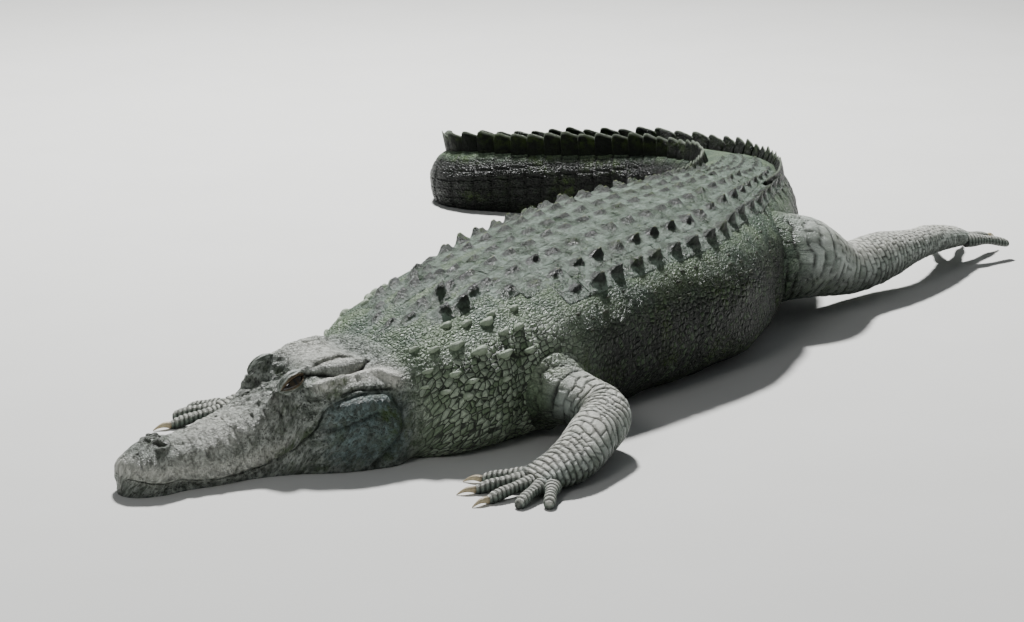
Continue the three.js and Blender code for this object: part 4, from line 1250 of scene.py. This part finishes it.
def make_claws():
    """All twelve claws: blunt curved cones, each closed at both ends."""
    shells = []
    for _, joints, digits, spread, inner in LEGS:
        for _, tip, aim, claw in digit_places(joints, digits, spread, inner):
            if not claw:
                continue
            t = np.linspace(0, 1, CLAW_RINGS)
            start = tip - aim * 3
            point = tip + aim * (CLAW_LENGTH + 0.3)
            point[2] = tip[2] - 5
            centre = start + (point - start) * t[:, None]
            centre[:, 2] += 4.5 * np.sin(np.pi * t)
            radius = mix(6.6, 1.0, t**1.3)
            side = np.array([aim[1], -aim[0], 0])
            a = np.linspace(0, 2 * np.pi, CLAW_COLUMNS, endpoint=False)[None]
            ridge = 1 + 0.05 * np.cos(2 * a)
            r = radius[:, None] * ridge
            ring = side * (0.86 * r * np.cos(a))[..., None] + UP * (r * np.sin(a))[..., None]
            points = centre[:, None] + ring
            points[..., 2] = np.maximum(points[..., 2], 0.1)
            masks = {"tone": t[:, None] + 0 * a}
            uv = np.stack([a * 6 + 0 * t[:, None], 30 * t[:, None] + 0 * a], -1) * MM
            shells.append(Shell(points, uv, masks))
    return make_mesh("claws", *joined(shells))


def srgb(r, g, b):
    """A linear colour from the usual 0 to 255 numbers."""
    parts = [v / 255 for v in (r, g, b)]
    return tuple(v / 12.92 if v <= 0.04045 else ((v + 0.055) / 1.055) ** 2.4 for v in parts) + (1,)


class Graph:
    """Short ways to build a material's nodes."""

    def __init__(self, name):
        self.material = bpy.data.materials.new(name)
        self.material.use_nodes = True
        self.tree = self.material.node_tree
        self.shader = self.tree.nodes["Principled BSDF"]

    def node(self, kind, inputs=(), **settings):
        made = self.tree.nodes.new(kind)
        for key, value in settings.items():
            setattr(made, key, value)
        for socket, value in dict(inputs).items():
            self.feed(made.inputs[socket], value)
        return made

    def feed(self, socket, value):
        if isinstance(value, bpy.types.NodeSocket):
            self.tree.links.new(value, socket)
        else:
            socket.default_value = value

    def mask(self, name):
        return self.node("ShaderNodeAttribute", attribute_name=name).outputs["Fac"]

    def uv(self, name="skin_uv"):
        return self.node("ShaderNodeUVMap", uv_map=name).outputs["UV"]

    def math(self, operation, a, b=0.0, clamp=False):
        return self.node("ShaderNodeMath", {0: a, 1: b}, operation=operation, use_clamp=clamp).outputs[0]

    def mix(self, share, a, b):
        made = self.node("ShaderNodeMix", data_type="RGBA")
        self.feed(made.inputs[0], share)
        self.feed(made.inputs[6], a)
        self.feed(made.inputs[7], b)
        return made.outputs[2]

    def times(self, a, b):
        return self.math("MULTIPLY", a, b)

    def plus(self, a, b):
        return self.math("ADD", a, b)

    def less(self, a, b):
        return self.math("SUBTRACT", a, b)

    def most(self, a, b):
        return self.math("MAXIMUM", a, b)

    def step(self, value, low, high, start=0.0, end=1.0):
        inputs = {"Value": value, "From Min": low, "From Max": high, "To Min": start, "To Max": end}
        return self.node("ShaderNodeMapRange", inputs, interpolation_type="SMOOTHSTEP").outputs["Result"]

    def noise(self, vector, scale, detail=4.0, rough=0.6):
        return self.node(
            "ShaderNodeTexNoise", {"Vector": vector, "Scale": scale, "Detail": detail, "Roughness": rough}
        ).outputs["Fac"]

    def warped(self, vector, scale, amount):
        cloud = self.node("ShaderNodeTexNoise", {"Vector": vector, "Scale": scale, "Detail": 2.0})
        middle = {0: cloud.outputs["Color"], 1: (0.5, 0.5, 0.5)}
        centred = self.node("ShaderNodeVectorMath", middle, operation="SUBTRACT").outputs[0]
        small = self.node("ShaderNodeVectorMath", {0: centred, "Scale": amount}, operation="SCALE").outputs[0]
        return self.node("ShaderNodeVectorMath", {0: vector, 1: small}, operation="ADD").outputs[0]

    def stretched(self, vector, factors):
        return self.node("ShaderNodeVectorMath", {0: vector, 1: factors}, operation="MULTIPLY").outputs[0]

    def edges(self, vector, scale, random=0.9):
        return self.node(
            "ShaderNodeTexVoronoi", {"Vector": vector, "Scale": scale, "Randomness": random},
            feature="DISTANCE_TO_EDGE",
        ).outputs["Distance"]

    def cell_tone(self, vector, scale, random=0.9):
        colour = self.node(
            "ShaderNodeTexVoronoi", {"Vector": vector, "Scale": scale, "Randomness": random}
        ).outputs["Color"]
        return self.node("ShaderNodeSeparateColor", {0: colour}).outputs[0]

    def finish(self, colour, rough, height, distance, specular=0.3):
        """Sets the shader's colour, roughness and bump, whose distance is in metres."""
        bumped = self.node("ShaderNodeBump", {"Height": height, "Distance": distance, "Strength": 1.0})
        self.feed(self.shader.inputs["Base Color"], colour)
        self.feed(self.shader.inputs["Roughness"], rough)
        self.shader.inputs["Specular IOR Level"].default_value = specular
        self.tree.links.new(bumped.outputs["Normal"], self.shader.inputs["Normal"])
        return self.material


# Depth of the bump of each material, in metres.
SKIN_BUMP = 0.00384
BOSS_BUMP = 0.0024
LID_BUMP = 0.00144
CLAW_BUMP = 0.00096

# Scales of the neck and flank, and the finer ones of the rest, as cells in each metre.
SCALES = 96.0
SMALL_SCALES = 150.0
TINY_SCALES = 330.0

BACK = srgb(92, 110, 94)
# FLANK is near-black partly for the dark skin and partly as painted shade.
FLANK = srgb(9, 14, 8)
FLANK_LIGHT = srgb(58, 76, 50)
HEAD_LIGHT = srgb(172, 178, 170)
HEAD_SHADE = srgb(94, 101, 92)
HEAD_PIT = srgb(34, 35, 29)
CHEEK = srgb(104, 124, 124)
NECK = srgb(176, 190, 168)
NECK_SHADE = srgb(122, 140, 112)
LEG = srgb(182, 192, 184)
# Painted shade for the undersides of the legs and digits.
LEG_SHADE = srgb(24, 30, 22)
# WALL is near-black partly for the dark skin and partly as painted shade on the side of the tail.
WALL = srgb(7, 10, 7)
WALL_LIGHT = srgb(22, 30, 20)
MOSS = srgb(62, 84, 26)
SEAM = srgb(8, 10, 7)
# Painted highlight colour, also used for the paler band along the front lips.
PALE_HIGHLIGHT = srgb(222, 222, 212)


def skin_material():
    """The skin, from grey head and green back to dark flanks and pale limbs, each under its own mask; the
    flanks' dark is partly painted shade, and shade and highlights are painted on head and limbs.
    """
    g = Graph("alligator_skin")
    uv = g.warped(g.uv(), 30.0, 0.006)
    head, cheek, net, wall, leg, shade, seam, moss, pale, bead = (g.mask(name) for name in MASKS)
    cloud = g.noise(uv, 14.0, 5.0)
    patch = g.noise(uv, 62.0, 5.0, 0.62)
    grain = g.noise(uv, 240.0, 4.0, 0.7)
    small_edge = g.edges(uv, SMALL_SCALES)
    tiny_edge = g.edges(uv, TINY_SCALES)
    small_tone = g.cell_tone(uv, SMALL_SCALES)
    plain = g.math("SUBTRACT", 1.0, g.most(g.most(wall, leg), head), clamp=True)
    scaly = g.times(g.most(net, shade), plain)
    scale_edge = g.edges(uv, SCALES, 0.7)
    scale_tone = g.cell_tone(uv, SCALES, 0.7)

    colour = g.mix(g.step(cloud, 0.35, 0.65), NECK_SHADE, BACK)
    colour = g.mix(net, colour, g.mix(g.step(scale_tone, 0.0, 0.9), NECK_SHADE, NECK))
    mottled = g.mix(g.step(patch, 0.38, 0.64), HEAD_SHADE, HEAD_LIGHT)
    pits = g.times(g.step(grain, 0.5, 0.62), g.step(g.noise(uv, 90.0, 3.0), 0.4, 0.54))
    mottled = g.mix(g.times(pits, 0.75), mottled, HEAD_PIT)
    colour = g.mix(head, colour, mottled)
    bluish = g.mix(g.step(small_tone, 0.1, 0.9), srgb(60, 74, 70), CHEEK)
    colour = g.mix(g.times(cheek, g.step(patch, 0.3, 0.62, 0.45, 0.9)), colour, bluish)
    limb = g.mix(g.step(g.plus(bead, g.noise(uv, 45.0, 4.0)), 0.5, 1.3), srgb(124, 136, 126), LEG)
    colour = g.mix(leg, colour, limb)
    # Under the shade mask: dark flank and tail, partly painted shade; painted shade on the brow and under the
    # legs and digits; darker nostrils and snout tip.
    flank_tone = g.times(scale_tone, g.step(cloud, 0.3, 0.7, 0.6, 1.0))
    dark = g.mix(g.step(flank_tone, 0.3, 0.9), FLANK, FLANK_LIGHT)
    dark = g.mix(leg, dark, LEG_SHADE)
    colour = g.mix(g.times(shade, 0.94), colour, dark)
    # Side of the tail: dark skin and painted shade.
    tail_side = g.mix(g.step(small_tone, 0.2, 1.0), WALL, WALL_LIGHT)
    colour = g.mix(g.times(wall, shade), colour, tail_side)
    # Painted highlight on the jugal ridge, skull table, snout top and the tops of the limbs, and the paler
    # front lips.
    colour = g.mix(g.times(pale, g.step(patch, 0.25, 0.55, 0.5, 1.0)), colour, PALE_HIGHLIGHT)
    growth = g.times(moss, g.step(g.noise(uv, 42.0, 5.0, 0.7), 0.42, 0.62))
    colour = g.mix(g.times(growth, 0.75), colour, MOSS)
    colour = g.mix(g.step(grain, 0.3, 0.7, 0.0, 0.28), colour, g.mix(0.6, colour, SEAM))
    covered = g.most(g.times(head, 0.7), g.times(scaly, 0.9))
    open_skin = g.less(1.0, g.most(g.times(leg, 0.9), covered))
    fine_seam = g.times(g.step(small_edge, 0.1, 0.0), open_skin)
    lines = g.most(seam, g.times(fine_seam, 0.4))
    lines = g.most(lines, g.times(g.step(scale_edge, 0.12, 0.02), scaly))
    colour = g.mix(g.times(lines, 0.9), colour, SEAM)

    height = g.times(g.times(g.step(small_edge, 0.0, 0.3), open_skin), 0.8)
    height = g.plus(height, g.times(g.times(g.step(scale_edge, 0.0, 0.35), scaly), 1.3))
    height = g.plus(height, g.times(g.step(tiny_edge, 0.0, 0.3), 0.2))
    height = g.plus(height, g.times(grain, 0.5))
    height = g.less(height, g.times(g.times(pits, head), 0.5))
    height = g.less(height, g.times(seam, 0.8))
    return g.finish(colour, g.step(grain, 0.25, 0.75, 0.3, 0.5), height, SKIN_BUMP)


def scute_material(name, specular, light, middle, dark, tip):
    """Wrinkled grey horn, painted shade down the sides of the keel and a lighter crest, partly painted
    highlight, with green growth.
    """
    g = Graph(name)
    place_in = g.node("ShaderNodeTexCoord").outputs["Object"]
    keel, tone, moss = (g.mask(key) for key in ("keel", "tone", "moss"))
    cloud = g.noise(place_in, 34.0, 5.0, 0.65)
    wrinkle = g.noise(place_in, 110.0, 5.0, 0.7)
    fine = g.noise(place_in, 320.0, 4.0, 0.7)
    colour = g.mix(g.step(cloud, 0.35, 0.65), middle, light)
    colour = g.mix(g.step(wrinkle, 0.48, 0.66, 0.0, 0.75), colour, dark)
    # Painted shade down the sides of each keel.
    colour = g.mix(g.times(g.step(keel, 0.05, 0.3), 0.94), colour, dark)
    # Lighter crest of each keel: partly painted highlight, and on the back's plates partly a green tint of
    # growth.
    colour = g.mix(g.step(keel, 0.86, 1.0, 0.0, 0.9), colour, tip)
    growth = g.times(moss, g.step(g.noise(place_in, 60.0, 5.0, 0.7), 0.42, 0.6))
    growth = g.times(growth, g.step(keel, 0.3, 0.8, 0.2, 1.0))
    colour = g.mix(g.times(growth, 0.8), colour, MOSS)
    colour = g.mix(g.times(tone, 0.25), colour, middle)
    height = g.plus(g.times(fine, 0.6), g.times(wrinkle, 2.4))
    return g.finish(colour, g.step(cloud, 0.3, 0.7, 0.26, 0.46), height, SKIN_BUMP, specular)


def boss_material():
    """Bosses of the neck take the pale skin's colour and those of the flank its dark one, with painted shade
    towards each neck boss's rim and round the foot of every boss.
    """
    g = Graph("boss_horn")
    place_in = g.node("ShaderNodeTexCoord").outputs["Object"]
    keel, tone, edge = (g.mask(key) for key in ("keel", "tone", "edge"))
    fine = g.noise(place_in, 280.0, 4.0, 0.7)
    pale = g.mix(g.step(fine, 0.3, 0.6), NECK, srgb(178, 188, 170))
    # Painted shade: neck bosses darken from their lit middle towards the rim.
    pale = g.mix(g.step(keel, 0.95, 0.5, 0.0, 0.6), pale, NECK_SHADE)
    dark = g.mix(g.step(fine, 0.35, 0.65), FLANK, srgb(76, 84, 64))
    colour = g.mix(g.step(keel, 0.1, 0.4), dark, pale)
    colour = g.mix(g.times(tone, 0.35), colour, g.mix(0.5, colour, SEAM))
    # Painted shade: a dark ring round the foot of each boss.
    colour = g.mix(g.step(edge, 0.3, 0.02, 0.0, 0.7), colour, SEAM)
    return g.finish(colour, g.step(fine, 0.3, 0.7, 0.4, 0.6), fine, BOSS_BUMP)


def lid_material():
    """Wrinkled skin like the head's, with a darker rim and painted shade along the inner edge and at the
    corners of the eye.
    """
    g = Graph("eyelid")
    uv = g.uv()
    q = g.mask("keel")
    fine = g.noise(uv, 420.0, 4.0, 0.7)
    rim = g.mix(g.step(fine, 0.35, 0.7), srgb(58, 48, 36), srgb(138, 120, 92))
    outer = g.mix(g.step(g.noise(uv, 160.0, 5.0), 0.4, 0.62), HEAD_SHADE, HEAD_LIGHT)
    colour = g.mix(g.step(q, 0.1, 0.3), rim, outer)
    colour = g.mix(g.step(fine, 0.5, 0.7, 0.0, 0.5), colour, HEAD_PIT)
    # Painted shade where the lid meets the eyeball and at the corners of the eye.
    shaded_edge = g.most(g.step(q, 0.06, 0.0, 0.0, 0.95), g.mask("corner"))
    colour = g.mix(shaded_edge, colour, srgb(16, 12, 9))
    return g.finish(colour, g.step(fine, 0.2, 0.8, 0.35, 0.6), fine, LID_BUMP)


def eye_material():
    """A dark wet eye with a streaked iris and a slit pupil."""
    g = Graph("eyeball")
    x, y, out = g.mask("eye_x"), g.mask("eye_y"), g.mask("eye_out")
    r = g.math("SQRT", g.plus(g.times(x, x), g.times(y, y)))
    streak = g.node("ShaderNodeCombineXYZ", {"X": g.math("ARCTAN2", y, x), "Y": g.times(r, 0.3)})
    rays = g.noise(streak.outputs[0], 9.0, 4.0, 0.7)
    iris = g.mix(g.step(rays, 0.35, 0.7), srgb(24, 18, 10), srgb(66, 52, 26))
    iris = g.mix(g.step(r, 0.4, 0.56), iris, srgb(16, 12, 8))
    white = g.mix(g.step(r, 0.62, 0.8), iris, srgb(34, 24, 18))
    slit = g.plus(g.math("ABSOLUTE", x), g.times(g.times(y, y), 0.55))
    colour = g.mix(g.step(slit, 0.11, 0.07), white, (0.004, 0.004, 0.004, 1))
    colour = g.mix(g.step(out, 0.0, 0.3, 1.0, 0.0), colour, srgb(34, 28, 22))
    g.feed(g.shader.inputs["Base Color"], colour)
    g.shader.inputs["Roughness"].default_value = 0.08
    g.shader.inputs["Coat Weight"].default_value = 1.0
    g.shader.inputs["Coat Roughness"].default_value = 0.03
    return g.material


def claw_material():
    """Pale horn with fine lines along it, darker at the root."""
    g = Graph("claw_horn")
    uv = g.uv()
    tone = g.mask("tone")
    line = g.noise(g.stretched(uv, (4.0, 0.6, 1.0)), 260.0, 4.0, 0.6)
    colour = g.mix(g.step(line, 0.35, 0.7), srgb(150, 134, 104), srgb(216, 206, 178))
    colour = g.mix(g.step(tone, 0.22, 0.0, 0.0, 0.8), colour, srgb(70, 60, 46))
    return g.finish(colour, g.step(line, 0.3, 0.7, 0.25, 0.45), line, CLAW_BUMP)


def dress(obj, material, slot, *nodes):
    """Gives a piece its material and its body, and hides the nodes that it replaces; slot is not used."""
    obj.data.materials.append(material)
    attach(obj, "root")
    if nodes:
        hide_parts(*nodes)
    return obj


# The camera stands where the photograph's perspective puts it, in metres and degrees.
CAMERA_BACK = 2.929, -2.913
CAMERA_HEIGHT = 1.397
CAMERA_TURN = BODY_TURN
CAMERA_PITCH = 15
LENS = 95.5


def make_camera():
    """The view of the photograph, with no shift and no depth of field."""
    data = bpy.data.cameras.new("camera")
    data.sensor_width = 36
    data.lens = LENS
    camera = bpy.data.objects.new("camera", data)
    bpy.context.scene.collection.objects.link(camera)
    x, y, _ = SNOUT_IN_FRAME * MM
    camera.location = (CAMERA_BACK[0] + x, CAMERA_BACK[1] + y, CAMERA_HEIGHT)
    camera.rotation_euler = (math.radians(90 - CAMERA_PITCH), 0, math.radians(CAMERA_TURN))
    bpy.context.scene.camera = camera


# Lights: name, place, size and energy.
LIGHTS = [("key", (-2.1, 2.0, 4.8), 0.6, 800), ("fill", (1.2, -5.6, 3.8), 2.0, 55)]


def make_stage():
    """A plain pale floor under soft light from above, brightest from behind."""
    x = np.linspace(-14, 14, 3)
    verts = [(a, b, 0) for a in x for b in x]
    faces = [(i, i + 3, i + 4, i + 1) for i in (0, 1, 3, 4)]
    mesh = bpy.data.meshes.new("floor")
    mesh.from_pydata(verts, [], faces)
    floor = bpy.data.objects.new("floor", mesh)
    bpy.context.scene.collection.objects.link(floor)
    g = Graph("pale_floor")
    grain = g.noise(g.node("ShaderNodeTexCoord").outputs["Object"], 3.0, 2.0)
    g.feed(g.shader.inputs["Base Color"], g.mix(grain, srgb(214, 214, 210), srgb(222, 222, 219)))
    g.shader.inputs["Roughness"].default_value = 0.9
    mesh.materials.append(g.material)

    world = bpy.data.worlds.new("studio")
    world.use_nodes = True
    world.node_tree.nodes["Background"].inputs["Color"].default_value = (0.9, 0.95, 1.0, 1)
    world.node_tree.nodes["Background"].inputs["Strength"].default_value = 0.13
    bpy.context.scene.world = world
    for name, at, size, energy in LIGHTS:
        data = bpy.data.lights.new(name, "AREA")
        data.shape = "DISK"
        data.size = size
        data.energy = energy
        light = bpy.data.objects.new(name, data)
        bpy.context.scene.collection.objects.link(light)
        light.location = at
        light.rotation_euler = (Vector((0, 0, 0.1)) - Vector(at)).to_track_quat("-Z", "Y").to_euler()


make_camera()
make_stage()

flesh = ["head", "lower_jaw", "neck", "trunk_front", "trunk_rear"]
flesh += [f"tail_{i}" for i in range(1, 7)]
flesh += [f"{part}_{side}" for side in ("left", "right")
          for part in ("upper_arm", "forearm", "hand", "thigh", "shank", "foot")]
claws = [f"claw_{part}_{side}_{i}"
         for part in ("hand", "foot") for side in ("left", "right") for i in (1, 2, 3)]

dress(make_skin(), skin_material(), "body_skin", *flesh)
# Plate colours: light and middle horn, the dark of wrinkles and of the painted shade on the keels, and the
# keel crests, partly painted highlight and partly green.
plate_colours = (srgb(126, 144, 130), srgb(66, 82, 64), srgb(14, 19, 12), srgb(132, 142, 92))
plates = scute_material("scute_horn", 0.5, *plate_colours)
dress(make_scutes("back_scutes", scute_list(), 59), plates, "body_skin")
dress(make_scutes("nuchal_scutes", nuchal_list(), 50), plates, "body_skin")
# Crest colours: near-black horn, partly dark skin and partly painted shade, with a painted highlight along
# the top of each leaf.
blade_colours = (srgb(20, 27, 19), srgb(12, 16, 11), srgb(8, 12, 8), srgb(150, 158, 144))
blades = scute_material("crest_horn", 0.12, *blade_colours)
dress(make_crest(), blades, "body_skin")
dress(make_tubercles(), boss_material(), "body_skin")
for eye_side, eye_mirror in (("left", 1), ("right", -1)):
    dress(make_eye(f"eyeball_{eye_side}", eye_mirror), eye_material(), "eye", f"eye_{eye_side}")
    dress(make_lids(f"eyelids_{eye_side}", eye_mirror), lid_material(), "head_skin")
dress(make_claws(), claw_material(), "claw", *claws)
